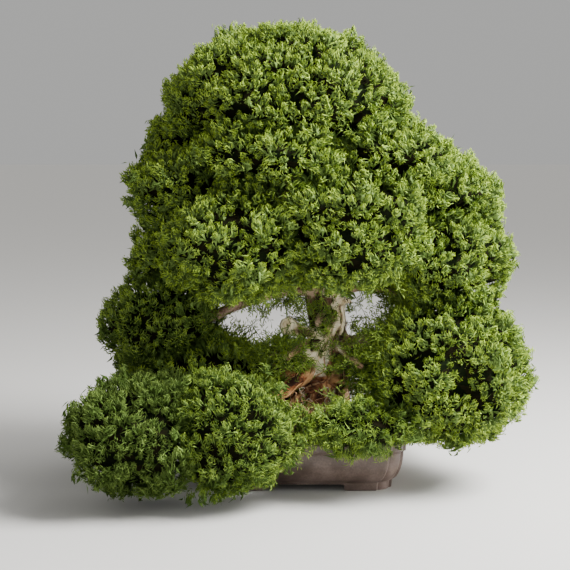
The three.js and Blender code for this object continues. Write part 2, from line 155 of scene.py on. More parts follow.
def soft_noise(points: Array, size: float, seed: int) -> Array:
    """Smooth random values between -1 and 1 in space.

    Args:
        points: places, one a row.
        size: distance across one patch.
        seed: picks the pattern.

    Returns:
        One value for each place.
    """
    lattice = points / size + 0.37 * seed
    cell = np.floor(lattice).astype(np.int64)
    share = lattice - cell
    share = share * share * (3 - 2 * share)
    total = np.zeros(len(points))
    for corner in product((0, 1), repeat=3):
        x, y, z = (cell + corner).T
        mixed = (x * 73856093) ^ (y * 19349663) ^ (z * 83492791) ^ (seed * 2654435761)
        mixed = ((mixed ^ (mixed >> 13)) * 1274126177) & 0xFFFFFFFF
        weight = np.prod(np.where(np.array(corner) == 1, share, 1 - share), axis=1)
        total += weight * mixed / 0xFFFFFFFF
    return 2 * total - 1


@dataclass
class Surface:
    """A triangle mesh as arrays, with the few operations that growing things need.

    Attributes:
        points: one vertex a row.
        triangles: three vertex numbers a row.
    """

    points: Array
    triangles: Array

    @classmethod
    def of_mesh(cls, mesh: bpy.types.Mesh) -> "Surface":
        """Reads a Blender mesh.

        Args:
            mesh: the mesh to read, which isn't changed.

        Returns:
            The same surface in triangles.
        """
        mesh.calc_loop_triangles()
        points = np.empty(3 * len(mesh.vertices), np.float32)
        triangles = np.empty(3 * len(mesh.loop_triangles), np.int32)
        mesh.vertices.foreach_get("co", points)
        mesh.loop_triangles.foreach_get("vertices", triangles)
        return cls(points.reshape(-1, 3).astype(float), triangles.reshape(-1, 3).astype(np.int64))

    @classmethod
    def of_node(cls, node: str) -> "Surface":
        """Reads a CAD node with its doubled vertices merged."""
        return cls.of_mesh(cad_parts[node].data).merged()

    def merged(self) -> "Surface":
        """Joins vertices that lie at the same place, to a thousandth of a millimetre.

        Returns:
            The surface without the triangles that this closes up.
        """
        keys = np.round(self.points / (0.001 * MM)).astype(np.int64)
        _, first, number = np.unique(keys, axis=0, return_index=True, return_inverse=True)
        triangles = number.reshape(-1)[self.triangles]
        whole = (triangles[:, 0] != triangles[:, 1]) & (triangles[:, 1] != triangles[:, 2])
        whole &= triangles[:, 2] != triangles[:, 0]
        return Surface(self.points[first], triangles[whole])

    def through(self, *modifiers: tuple[str, dict]) -> "Surface":
        """Runs the surface through Blender modifiers.

        Args:
            modifiers: pairs of a modifier's type and its settings, in order.

        Returns:
            The resulting surface.
        """
        carrier = new_object("carrier", self)
        for kind, settings in modifiers:
            modifier = carrier.modifiers.new(kind.lower(), kind)
            for name, value in settings.items():
                setattr(modifier, name, value)
        evaluated = carrier.evaluated_get(bpy.context.evaluated_depsgraph_get())
        result = Surface.of_mesh(evaluated.to_mesh())
        evaluated.to_mesh_clear()
        mesh = carrier.data
        bpy.data.objects.remove(carrier)
        bpy.data.meshes.remove(mesh)
        return result

    def edges(self) -> Array:
        """Returns each edge once, as a pair of vertex numbers."""
        pairs = np.concatenate([self.triangles[:, ends] for ends in ([0, 1], [1, 2], [2, 0])])
        return np.unique(np.sort(pairs, axis=1), axis=0)

    def crossings(self) -> Array:
        """Returns each triangle's normal, as long as twice its area."""
        a, b, c = (self.points[self.triangles[:, i]] for i in range(3))
        return np.cross(b - a, c - a)

    def normals(self) -> Array:
        """Averages the triangles' normals.

        Returns:
            The outward normal at each vertex.
        """
        total = np.zeros_like(self.points)
        crossings = self.crossings()
        for i in range(3):
            np.add.at(total, self.triangles[:, i], crossings)
        return unit(total)

    def smoothed(self, rounds: int) -> "Surface":
        """Evens out the surface without shrinking it.

        Args:
            rounds: how many times each vertex moves towards its neighbours and back.

        Returns:
            The smoothed surface.
        """
        edges = self.edges()
        points = self.points.copy()
        for step in [0.5, -0.53] * rounds:
            points += step * (neighbour_mean(points, edges) - points)
        return Surface(points, self.triangles)

    def tree(self) -> BVHTree:
        """Returns a search tree over the triangles."""
        return BVHTree.FromPolygons(self.points.tolist(), self.triangles.tolist())


# A surface and the places of its triangles' corners on the colour chart
Charted = tuple[Surface, Array]


def neighbour_mean(values: Array, edges: Array, weights: Array | None = None) -> Array:
    """Averages each vertex's neighbours.

    Args:
        values: one row for each vertex.
        edges: pairs of vertex numbers.
        weights: how much each edge counts, or None for all alike.

    Returns:
        The averages, one row for each vertex.
    """
    weights = np.ones(len(edges)) if weights is None else weights
    count = len(values)
    rows = values.reshape(count, -1)
    share = np.bincount(edges[:, 0], weights, count) + np.bincount(edges[:, 1], weights, count)
    columns = [
        np.bincount(edges[:, 0], weights * column[edges[:, 1]], count)
        + np.bincount(edges[:, 1], weights * column[edges[:, 0]], count)
        for column in rows.T
    ]
    return (np.stack(columns, axis=1) / np.maximum(share, 1e-12)[:, None]).reshape(values.shape)


def place_object(name: str, data: bpy.types.ID) -> bpy.types.Object:
    """Makes an object and links it to the scene.

    Args:
        name: the object's name.
        data: its mesh, light or camera.

    Returns:
        The new object.
    """
    placed = bpy.data.objects.new(name, data)
    bpy.context.scene.collection.objects.link(placed)
    return placed


def new_object(
    name: str, surface: Surface, chart: Array | None = None, smooth: bool = False
) -> bpy.types.Object:
    """Makes an object from arrays.

    Args:
        name: the object's name.
        surface: its triangles.
        chart: place of each triangle corner on the colour chart, or None.
        smooth: whether it is shaded smooth.

    Returns:
        The new object, linked to the scene.
    """
    mesh = bpy.data.meshes.new(name)
    mesh.vertices.add(len(surface.points))
    mesh.vertices.foreach_set("co", surface.points.astype(np.float32).ravel())
    mesh.loops.add(surface.triangles.size)
    mesh.loops.foreach_set("vertex_index", surface.triangles.astype(np.int32).ravel())
    mesh.polygons.add(len(surface.triangles))
    mesh.polygons.foreach_set("loop_start", np.arange(0, surface.triangles.size, 3, dtype=np.int32))
    mesh.polygons.foreach_set("use_smooth", np.full(len(surface.triangles), smooth))
    mesh.update(calc_edges=True)
    if chart is not None:
        layer = mesh.uv_layers.new(name=CHART)
        layer.uv.foreach_set("vector", chart.astype(np.float32).ravel())
    return place_object(name, mesh)


def set_values(piece: bpy.types.Object, name: str, values: Array) -> None:
    """Stores one number for each vertex under a name that a material can read."""
    attribute = piece.data.attributes.new(name, "FLOAT", "POINT")
    attribute.data.foreach_set("value", values.astype(np.float32))


def seat(piece: bpy.types.Object, slot: str, material: bpy.types.Material, *nodes: str) -> None:
    """Gives a piece its material, puts it on the tree's one body and reports it.

    Args:
        piece: the finished object.
        slot: not used.
        material: the piece's finish.
        nodes: CAD nodes that the piece stands for.
    """
    piece.data.materials.clear()
    piece.data.materials.append(material)
    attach(piece, "root")
    if nodes:
        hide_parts(*nodes)
    LOG.info("%s: %d faces", piece.name, len(piece.data.polygons))


# Small tools for materials


def feed(node: bpy.types.Node, inputs: dict) -> None:
    """Sets a shader node's inputs or links them.

    Args:
        node: the node to feed.
        inputs: input name or number to a value, or to the socket or node that feeds it.
    """
    for name, value in inputs.items():
        if isinstance(value, bpy.types.Node):
            value = value.outputs[MAIN_OUTPUTS.get(value.bl_idname, 0)]
        if isinstance(value, bpy.types.NodeSocket):
            node.id_data.links.new(value, node.inputs[name])
        else:
            node.inputs[name].default_value = value


def add_node(
    tree: bpy.types.NodeTree,
    kind: str,
    inputs: dict | None = None,
    stops: list[tuple[float, str]] | None = None,
    **settings: object,
) -> bpy.types.Node:
    """Adds a shader node with its settings and links.

    Args:
        tree: the material's node tree.
        kind: the node's Blender type, without the words in front that all shader nodes share.
        inputs: input name or number to a value, or to the socket or node that feeds it.
        stops: position and hex colour of each stop of a colour ramp.
        settings: the node's other options.

    Returns:
        The new node.
    """
    node = tree.nodes.new("ShaderNode" + kind)
    for name, value in settings.items():
        setattr(node, name, value)
    feed(node, inputs or {})
    for number, (position, colour) in enumerate(stops or []):
        elements = node.color_ramp.elements
        stop = elements[number] if number < 2 else elements.new(position)
        stop.position = position
        stop.color = linear(colour)
    return node


def new_material(name: str) -> tuple[bpy.types.Material, AddNode, bpy.types.Node]:
    """Starts a material.

    Args:
        name: what the real material is.

    Returns:
        The material, what adds a node to it, and its Principled shader.
    """
    material = bpy.data.materials.new(name)
    material.use_nodes = True
    tree = material.node_tree
    return material, partial(add_node, tree), tree.nodes["Principled BSDF"]


# Finishes


@dataclass(frozen=True)
class ScaleFoliage:
    """Living juniper foliage: soft scale leaves, matt with a faint wax sheen.

    The eye sees dark hollows, mid green sprays and bright yellow-green growing tips, so the
    colour runs from root to tip of each shoot, and from one shoot to the next between a cool and
    a warm green. The tips' lighter green is partly real new growth and partly painted light; the
    mid green bodies and the dark roots are painted shade, standing in for the shade deep in the
    foliage. At the chart's foot are the dark twigs of the tree's inside, darkened to painted deep
    shade; the pads' dark cores take these colours too.
    """

    name: str = "juniper_scale_foliage"
    # Painted shade: the dark green that the shoots take at their roots, deep in the foliage
    hollow: str = "#3a4d1f"
    # Dark twigs, darkened to painted deep shade, which also colour the pads' dark cores
    twig_and_deep_shade: tuple[str, str] = ("#10160b", "#1c1a10")
    # Painted shade and light: the shoots' bodies take these shaded greens; the tips' lighter greens
    # are partly real new growth and partly painted light
    shaded: tuple[str, str] = ("#4a5f2a", "#6e8542")
    tips: tuple[str, str] = ("#728c2c", "#a3bc3a")
    twig_end: tuple[float, float] = (0.09, 0.13)
    hollow_end: tuple[float, float] = (0.05, 0.5)
    tip_start: tuple[float, float] = (0.35, 0.95)
    roughness: float = 0.6
    wax: float = 0.1

    def material(self) -> bpy.types.Material:
        """Builds the material.

        Returns:
            The material.
        """
        material, add, shader = new_material(self.name)
        place = add("SeparateXYZ", {"Vector": add("UVMap", uv_map=CHART)})
        tone, along = place.outputs["X"], place.outputs["Y"]
        twig_and_deep_shade = add("ValToRGB", {"Fac": tone}, [(0.3, self.twig_and_deep_shade[0]), (0.8, self.twig_and_deep_shade[1])])
        body, tip = (
            add("ValToRGB", {"Fac": tone}, [(0.0, cool), (1.0, warm)])
            for cool, warm in (self.shaded, self.tips)
        )
        # Painted shade: towards its root each shoot darkens to the hollow colour, and at the
        # chart's foot to the dark twig colour
        from_twig, from_hollow, to_tip = (
            add(
                "MapRange",
                {"Value": along, "From Min": low, "From Max": high},
                interpolation_type=kind,
            )
            for (low, high), kind in (
                (self.twig_end, "LINEAR"),
                (self.hollow_end, "SMOOTHSTEP"),
                (self.tip_start, "SMOOTHSTEP"),
            )
        )
        hollow = add("Mix", {0: from_twig, 6: twig_and_deep_shade, 7: linear(self.hollow)}, data_type="RGBA")
        leafy = add("Mix", {0: to_tip, 6: body, 7: tip}, data_type="RGBA")
        grown = add("Mix", {0: from_hollow, 6: hollow, 7: leafy}, data_type="RGBA")
        wax = add("Math", {0: from_hollow, 1: self.wax}, operation="MULTIPLY")
        feed(shader, {"Base Color": grown, "Specular IOR Level": wax, "Roughness": self.roughness})
        return material


@dataclass(frozen=True)
class StringyBark:
    """Juniper bark: it peels in thin upright strips, rust red where fresh and grey where old.

    The grain attribute comes from the modelled strips, so crests are pale and hollows are dark.
    Where the bark has gone, streaks of pale bare wood show along the same grain.
    """

    name: str = "juniper_bark"
    hollow: str = "#30201a"
    middle: str = "#6d5344"
    crest: str = "#bba48f"
    rust: tuple[str, str, str] = ("#331d13", "#8a502c", "#cf9f6c")
    bare: tuple[str, str] = ("#8d7b62", "#f4ead2")
    fibre_width: float = 1.2 * MM
    fibre_depth: float = 0.6 * MM
    fibre_contrast: float = 0.6
    patch: float = 34 * MM
    patch_redness: float = 0.35
    relief: float = 0.5
    roughness: float = 0.82
    specular: float = 0.25

    def material(self) -> bpy.types.Material:
        """Builds the material.

        Returns:
            The material.
        """
        material, add, shader = new_material(self.name)
        grain, redness, bareness = (
            add("Attribute", attribute_name=name) for name in ("grain", "redness", "bareness")
        )
        places = add("TexCoord")
        scale = 1 / (2.5 * self.fibre_width)
        fine = add("TexNoise", {"Vector": places, "Scale": scale, "Detail": 3.0})
        patches = add("TexNoise", {"Vector": places, "Scale": 1 / self.patch, "Detail": 2.0})
        height = add("Math", {0: fine, 1: self.fibre_contrast, 2: grain}, operation="MULTIPLY_ADD")
        red_share = add(
            "Math",
            {0: patches, 1: self.patch_redness, 2: redness},
            operation="MULTIPLY_ADD",
            use_clamp=True,
        )
        old, fresh, bare = (
            add("ValToRGB", {"Fac": height}, stops)
            for stops in (
                [(0.5, self.hollow), (1.0, self.crest), (0.73, self.middle)],
                [(0.5, self.rust[0]), (0.97, self.rust[2]), (0.72, self.rust[1])],
                [(0.48, self.bare[0]), (0.85, self.bare[1])],
            )
        )
        rusty = add("Mix", {0: red_share, 6: old, 7: fresh}, data_type="RGBA")
        shown = add("Mix", {0: bareness, 6: rusty, 7: bare}, data_type="RGBA")
        relief = {"Height": fine, "Strength": self.relief, "Distance": self.fibre_depth}
        feed(shader, {"Base Color": shown, "Normal": add("Bump", relief)})
        feed(shader, {"Roughness": self.roughness, "Specular IOR Level": self.specular})
        return material


@dataclass(frozen=True)
class WeatheredDeadwood:
    """Bare juniper wood, bleached by sun and lime sulphur.

    The eye sees bone white ridges over grey, open grain with dark cracks.
    """

    name: str = "bleached_juniper_wood"
    crack: str = "#5c442d"
    grey: str = "#d9c49a"
    bone: str = "#fff1cf"
    grain_width: float = 1.0 * MM
    grain_depth: float = 0.4 * MM
    grain_contrast: float = 0.3
    relief: float = 0.4
    roughness: float = 0.7
    specular: float = 0.3

    def material(self) -> bpy.types.Material:
        """Builds the material.

        Returns:
            The material.
        """
        material, add, shader = new_material(self.name)
        grain = add("Attribute", attribute_name="grain")
        scale = 1 / (3 * self.grain_width)
        fine = add("TexNoise", {"Vector": add("TexCoord"), "Scale": scale, "Detail": 4.0})
        height = add("Math", {0: fine, 1: self.grain_contrast, 2: grain}, operation="MULTIPLY_ADD")
        stops = [(0.25, self.crack), (0.68, self.bone), (0.46, self.grey)]
        shown = add("ValToRGB", {"Fac": height}, stops)
        relief = {"Height": fine, "Strength": self.relief, "Distance": self.grain_depth}
        feed(shader, {"Base Color": shown, "Normal": add("Bump", relief)})
        feed(shader, {"Roughness": self.roughness, "Specular IOR Level": self.specular})
        return material


@dataclass(frozen=True)
class UnglazedClay:
    """Unglazed stoneware, pressed and fired: grey brown, satin from years of handling and wiping.

    The eye sees a soft broad sheen on the corners, faint clouds of tone and a fine grit.
    """

    name: str = "unglazed_stoneware"
    dark: str = "#43362f"
    body: str = "#56473f"
    light: str = "#74645c"
    cloud: float = 45 * MM
    grit: float = 0.9 * MM
    grit_depth: float = 0.25 * MM
    grit_contrast: float = 0.25
    relief: float = 0.35
    roughness: tuple[float, float] = (0.31, 0.46)
    specular: float = 0.45

    def material(self) -> bpy.types.Material:
        """Builds the material.

        Returns:
            The material.
        """
        material, add, shader = new_material(self.name)
        places = add("TexCoord")
        clouds, grit = (
            add("TexNoise", {"Vector": places, "Scale": 1 / size, "Detail": detail})
            for size, detail in ((self.cloud, 5.0), (3 * self.grit, 3.0))
        )
        height = add("Math", {0: grit, 1: self.grit_contrast, 2: clouds}, operation="MULTIPLY_ADD")
        stops = [(0.45, self.dark), (0.82, self.light), (0.62, self.body)]
        shown = add("ValToRGB", {"Fac": height}, stops)
        low, high = self.roughness
        sheen = add(
            "MapRange",
            {"Value": clouds, "From Min": 0.3, "From Max": 0.7, "To Min": low, "To Max": high},
        )
        relief = {"Height": grit, "Strength": self.relief, "Distance": self.grit_depth}
        feed(shader, {"Base Color": shown, "Normal": add("Bump", relief)})
        feed(shader, {"Roughness": sheen, "Specular IOR Level": self.specular})
        return material


@dataclass(frozen=True)
class ClayGranules:
    """Bonsai soil: sieved baked clay, pumice and dark lava, damp and matt.

    Each grain takes one tone of the chart, from dark lava through brown clay to pale pumice.
    """

    name: str = "baked_clay_granules"
    tones: tuple[tuple[float, str], ...] = (
        (0.0, "#241c17"),
        (1.0, "#a8977f"),
        (0.3, "#4a3526"),
        (0.6, "#6b4c34"),
        (0.85, "#86684c"),
    )
    between: str = "#1a1410"

    def material(self) -> bpy.types.Material:
        """Builds the material.

        Returns:
            The material.
        """
        material, add, shader = new_material(self.name)
        place = add("SeparateXYZ", {"Vector": add("UVMap", uv_map=CHART)})
        tone, height = place.outputs["X"], place.outputs["Y"]
        grain = add("ValToRGB", {"Fac": tone}, list(self.tones))
        shown = add("Mix", {0: height, 6: linear(self.between), 7: grain}, data_type="RGBA")
        feed(shader, {"Base Color": shown, "Roughness": 0.9, "Specular IOR Level": 0.2})
        return material


@dataclass(frozen=True)
class CushionMoss:
    """Low cushion moss on the soil: velvety, with bright tips over a brown base."""

    name: str = "cushion_moss"
    base: str = "#1c220c"
    tips: tuple[str, str] = ("#4b6122", "#84963f")

    def material(self) -> bpy.types.Material:
        """Builds the material.

        Returns:
            The material.
        """
        material, add, shader = new_material(self.name)
        place = add("SeparateXYZ", {"Vector": add("UVMap", uv_map=CHART)})
        tone, height = place.outputs["X"], place.outputs["Y"]
        tip = add("ValToRGB", {"Fac": tone}, [(0.0, self.tips[0]), (1.0, self.tips[1])])
        shown = add("Mix", {0: height, 6: linear(self.base), 7: tip}, data_type="RGBA")
        feed(shader, {"Base Color": shown, "Roughness": 0.85})
        return material


@dataclass(frozen=True)
class DrainNet:
    """Extruded black polyethylene net, dull and slightly waxy, with dust of the soil on it."""

    name: str = "black_polyethylene_net"
    colour: str = "#1b1d1c"
    dust: str = "#4a4037"
    grain: float = 2 * MM

    def material(self) -> bpy.types.Material:
        """Builds the material.

        Returns:
            The material.
        """
        material, add, shader = new_material(self.name)
        scale = 1 / self.grain
        noise = add("TexNoise", {"Vector": add("TexCoord"), "Scale": scale, "Detail": 3.0})
        shown = add("ValToRGB", {"Fac": noise}, [(0.5, self.colour), (0.8, self.dust)])
        feed(shader, {"Base Color": shown, "Roughness": 0.5})
        return material


# Foliage


@dataclass(frozen=True)
class Layer:
    """One layer of a tuft's shoots.

    Attributes:
        shoots: how many there are in a tuft.
        length: of a shoot.
        width: of a shoot at its thickest.
        reach: of the layer, as a share of the tuft's radius.
        sunk: how far it lies under the tuft's top layer.
        tip_height: height of the shoots' tips on the colour chart.
    """

    shoots: int
    length: float
    width: float
    reach: float = 1.0
    sunk: float = 0.0
    tip_height: float = 1.0


@dataclass(frozen=True)
class Growth:
    """How a cushion of foliage is filled with tufts of fine shoots.

    Attributes:
        kept: share of the places where a tuft can stand that carry one.
        radius: of a tuft across its tips.
        dome: how far the middle of a tuft stands over its edge.
        lift: of a tuft's edge over the cushion's surface.
        unevenness: how far tufts stand over or under each other.
        rise: how much tufts turn upwards.
        spread: how far shoots turn away from the tuft's own direction.
        fine: the fine shoots that are seen first.
        broad: the broader ones behind them, darker as painted shade.
        core: how far the dark inside, a sheet of painted shade, lies under the surface, or 0 for
            none.
        tone: how much the foliage is lighter than usual; a darker tone is painted shade.
    """

    kept: float = 1.0
    radius: float = 8.2 * MM
    dome: float = 10 * MM
    lift: float = -1.0 * MM
    unevenness: float = 3.2 * MM
    rise: float = 0.6
    spread: float = 0.7
    fine: Layer = Layer(shoots=23, length=12 * MM, width=1.7 * MM)
    broad: Layer = Layer(
        shoots=8, length=14 * MM, width=4.2 * MM, reach=1.15, sunk=6.5 * MM, tip_height=0.5
    )
    core: float = 14 * MM
    tone: float = 0.0


# The shoots of the low pads, with their tips low on the colour chart: painted shade, darker than
# usual
LOW_FINE = Layer(shoots=23, length=13 * MM, width=1.5 * MM, tip_height=0.88)
LOW_BROAD = Layer(
    shoots=8, length=13 * MM, width=3.8 * MM, reach=1.15, sunk=7.5 * MM, tip_height=0.26
)


class Habit(Enum):
    """The ways in which the foliage grows."""

    CLIPPED = Growth()
    # Painted shade: the low, drooping and shaded pads take darker tones and lower tips, as they lie
    # in the tree's shade
    LOW = Growth(fine=LOW_FINE, broad=LOW_BROAD, tone=-0.2)
    LOWEST = Growth(
        fine=replace(LOW_FINE, tip_height=0.65),
        broad=replace(LOW_BROAD, tip_height=0.22),
        tone=-0.2,
    )
    DROOPING = Growth(
        radius=10 * MM,
        dome=8 * MM,
        unevenness=5 * MM,
        rise=-0.25,
        spread=0.8,
        fine=Layer(shoots=26, length=16 * MM, width=1.3 * MM),
        broad=Layer(shoots=7, length=18 * MM, width=3.4 * MM, sunk=5 * MM, tip_height=0.34),
        tone=-0.32,
    )
    SHADED = Growth(
        kept=0.6,
        radius=11 * MM,
        dome=12 * MM,
        unevenness=4 * MM,
        rise=0.1,
        spread=0.7,
        fine=Layer(shoots=16, length=18 * MM, width=1.1 * MM),
        broad=Layer(shoots=2, length=20 * MM, width=1.6 * MM, sunk=4 * MM, tip_height=0.1),
        core=0.0,
        tone=-0.2,
    )


def scatter(surface: Surface, spacing: float, random: Random) -> tuple[Array, Array]:
    """Picks places on a surface that are at least one spacing apart.

    Args:
        surface: where the places lie.
        spacing: least distance between two places.
        random: source of random numbers.

    Returns:
        The places, and the surface normal at each.
    """
    crossings = surface.crossings()
    areas = np.linalg.norm(crossings, axis=1) / 2
    count = int(TRIES * areas.sum() / spacing**2)
    faces = random.choice(len(areas), count, p=areas / areas.sum())
    u, v = random.random((2, count))
    u, v = np.where(u + v > 1, 1 - u, u), np.where(u + v > 1, 1 - v, v)
    corners = surface.triangles[faces]
    weights = np.stack([1 - u - v, u, v], axis=1)[:, :, None]
    places = (surface.points[corners] * weights).sum(axis=1)
    normals = unit((surface.normals()[corners] * weights).sum(axis=1))
    cells = np.floor(places / spacing).astype(int)
    around = list(product((-1, 0, 1), repeat=3))
    kept: dict[tuple, list[int]] = defaultdict(list)
    chosen = []
    for number, cell in enumerate(map(tuple, cells)):
        x, y, z = cell
        near = [n for i, j, k in around for n in kept.get((x + i, y + j, z + k), ())]
        if near and (((places[near] - places[number]) ** 2).sum(axis=1) < spacing**2).any():
            continue
        kept[cell].append(number)
        chosen.append(number)
    return places[chosen], normals[chosen]


def chart_columns(tones: Array) -> Array:
    """Returns the middle of the chart column that holds each tone between 0 and 1."""
    return (np.floor(np.clip(tones, 0, 0.999) * CHART_COLUMNS) + 0.5) / CHART_COLUMNS


def chart_triangles(columns: Array, half: float, heights: tuple) -> Array:
    """Lays one small triangle on the colour chart for each face.

    Args:
        columns: middle of each face's column.
        half: half of the triangle's width.
        heights: of its left, right and middle corner: each is one value, or one for each face.

    Returns:
        The places of the faces' corners.
    """
    across = columns[:, None] + half * np.array([-1, 1, 0])
    up = np.stack([np.broadcast_to(height, columns.shape) for height in heights], axis=-1)
    return np.stack([across, up], axis=-1)


def copies(points: Array, pattern: Array) -> Surface:
    """Makes one surface of many small shapes with the same faces.

    Args:
        points: the vertices, with shapes first.
        pattern: vertex numbers of one shape's triangles.

    Returns:
        The surface.
    """
    count, each = points.shape[:2]
    triangles = pattern + each * np.arange(count)[:, None, None]
    return Surface(points.reshape(-1, 3), triangles.reshape(-1, 3))


def spindles(
    roots: Array,
    tips: Array,
    widths: Array,
    tones: Array,
    heights: Array,
    random: Random,
    belly: float = 0.62,
) -> Charted:
    """Makes closed slim shoots with a keel, pointed at both ends: four faces each.

    Args:
        roots: where each shoot starts.
        tips: where each shoot ends.
        widths: width of each shoot.
        tones: tone of each shoot, from 0 to 1.
        heights: height on the colour chart of each shoot's root and tip.
        random: source of random numbers.
        belly: share of the length at which a shoot is widest.

    Returns:
        The shoots as one surface, and its triangle corners' places on the chart.
    """
    along = tips - roots
    aside = sideways(unit(along), random)
    keel = np.cross(unit(along), aside)
    back = roots + belly * along - KEEL * widths[:, None] * keel
    half_width = widths[:, None] / 2 * aside
    points = np.stack([roots, back - half_width, back + half_width, tips], axis=1)
    pattern = np.array([[0, 1, 3], [0, 3, 2], [0, 2, 1], [1, 2, 3]])

    column = chart_columns(tones)
    bottom, top = heights[:, 0], heights[:, 1]
    middle = bottom + belly * (top - bottom)
    left, right = column - SHOOT_HALF, column + SHOOT_HALF
    corners = ((column, bottom), (left, middle), (right, middle), (column, top))
    places = np.stack([np.stack(corner, axis=1) for corner in corners], axis=1)
    return copies(points, pattern), places[:, pattern].reshape(-1, 3, 2)


def cords(paths: Array, widths: Array, ups: Array, flat: float = 1.0) -> Surface:
    """Sweeps a three-sided section along each path, pointed at both ends.

    Args:
        paths: places along each cord, with cords first and places second.
        widths: thickness at each place.
        ups: the side on which each cord has its ridge, at each place.
        flat: thickness as a share of the width.

    Returns:
        The cords as one surface.
    """
    count, steps = paths.shape[:2]
    tangents = unit(np.gradient(paths, axis=1))
    asides = unit(np.cross(tangents, ups))
    rises = flat * np.cross(asides, tangents)
    angles = np.radians([90, 210, 330])[:, None]
    inner = slice(1, -1)
    rings = paths[:, inner, None] + widths[:, inner, None, None] / 2 * (
        np.cos(angles) * asides[:, inner, None] + np.sin(angles) * rises[:, inner, None]
    )
    points = np.concatenate([paths[:, :1], rings.reshape(count, -1, 3), paths[:, -1:]], axis=1)
    last = 3 * (steps - 2) + 1
    pattern = []
    for i in range(3):
        j = (i + 1) % 3
        pattern += [(0, 1 + i, 1 + j), (last, last - 3 + j, last - 3 + i)]
        for ring in range(steps - 3):
            here, there = 1 + 3 * ring, 4 + 3 * ring
            pattern += [(here + i, there + i, here + j), (here + j, there + i, there + j)]
    return copies(points, np.array(pattern))


def joined_surfaces(surfaces: list[Surface]) -> Surface:
    """Puts several surfaces into one.

    Args:
        surfaces: the surfaces.

    Returns:
        The one surface, with their vertices and triangles in the same order.
    """
    offsets = np.cumsum([0] + [len(s.points) for s in surfaces[:-1]])
    triangles = [s.triangles + offset for s, offset in zip(surfaces, offsets)]
    return Surface(np.concatenate([s.points for s in surfaces]), np.concatenate(triangles))


def joined(parts: list[Charted]) -> Charted:
    """Puts several charted surfaces into one."""
    surfaces, charts = zip(*parts)
    return joined_surfaces(list(surfaces)), np.concatenate(charts)


@dataclass
class Stand:
    """The tufts of one pad.

    Attributes:
        places: where they stand on the foliage's common surface.
        normals: the way out of the foliage there.
        openness: how freely each looks out of the tree, from 0 to 1.
        height: of each in its clump, from 0 to 1.
        lean: how far and which way each leans out of its clump.
        clefts: distance to the pad's own surface, large where the foliage bridges a cleft.
    """

    places: Array
    normals: Array
    openness: Array
    height: Array
    lean: Array
    clefts: Array


@dataclass(frozen=True)
class Toning:
    """What makes a tuft's tone, from 0 to 1.

    Attributes:
        base: of all tufts.
        lumps: how much patches of foliage differ.
        tufts: how much single tufts differ.
        upward: painted light: how much lighter those that grow upwards are, as though lit from
            above.
        openness: painted light: how much lighter the open ones are, where less of the tree shades
            them.
        height: painted light: how much lighter the highest of a clump are, as though lit on top.
        cleft: painted shade: how much darker those in a cleft are.
        painted_shade_cleft_width: how wide a cleft is that has its whole painted shade.
    """

    base: float = 0.12
    lumps: float = 0.13
    tufts: float = 0.12
    upward: float = 0.12
    openness: float = 0.18
    height: float = 0.38
    cleft: float = 0.2
    painted_shade_cleft_width: float = 16 * MM


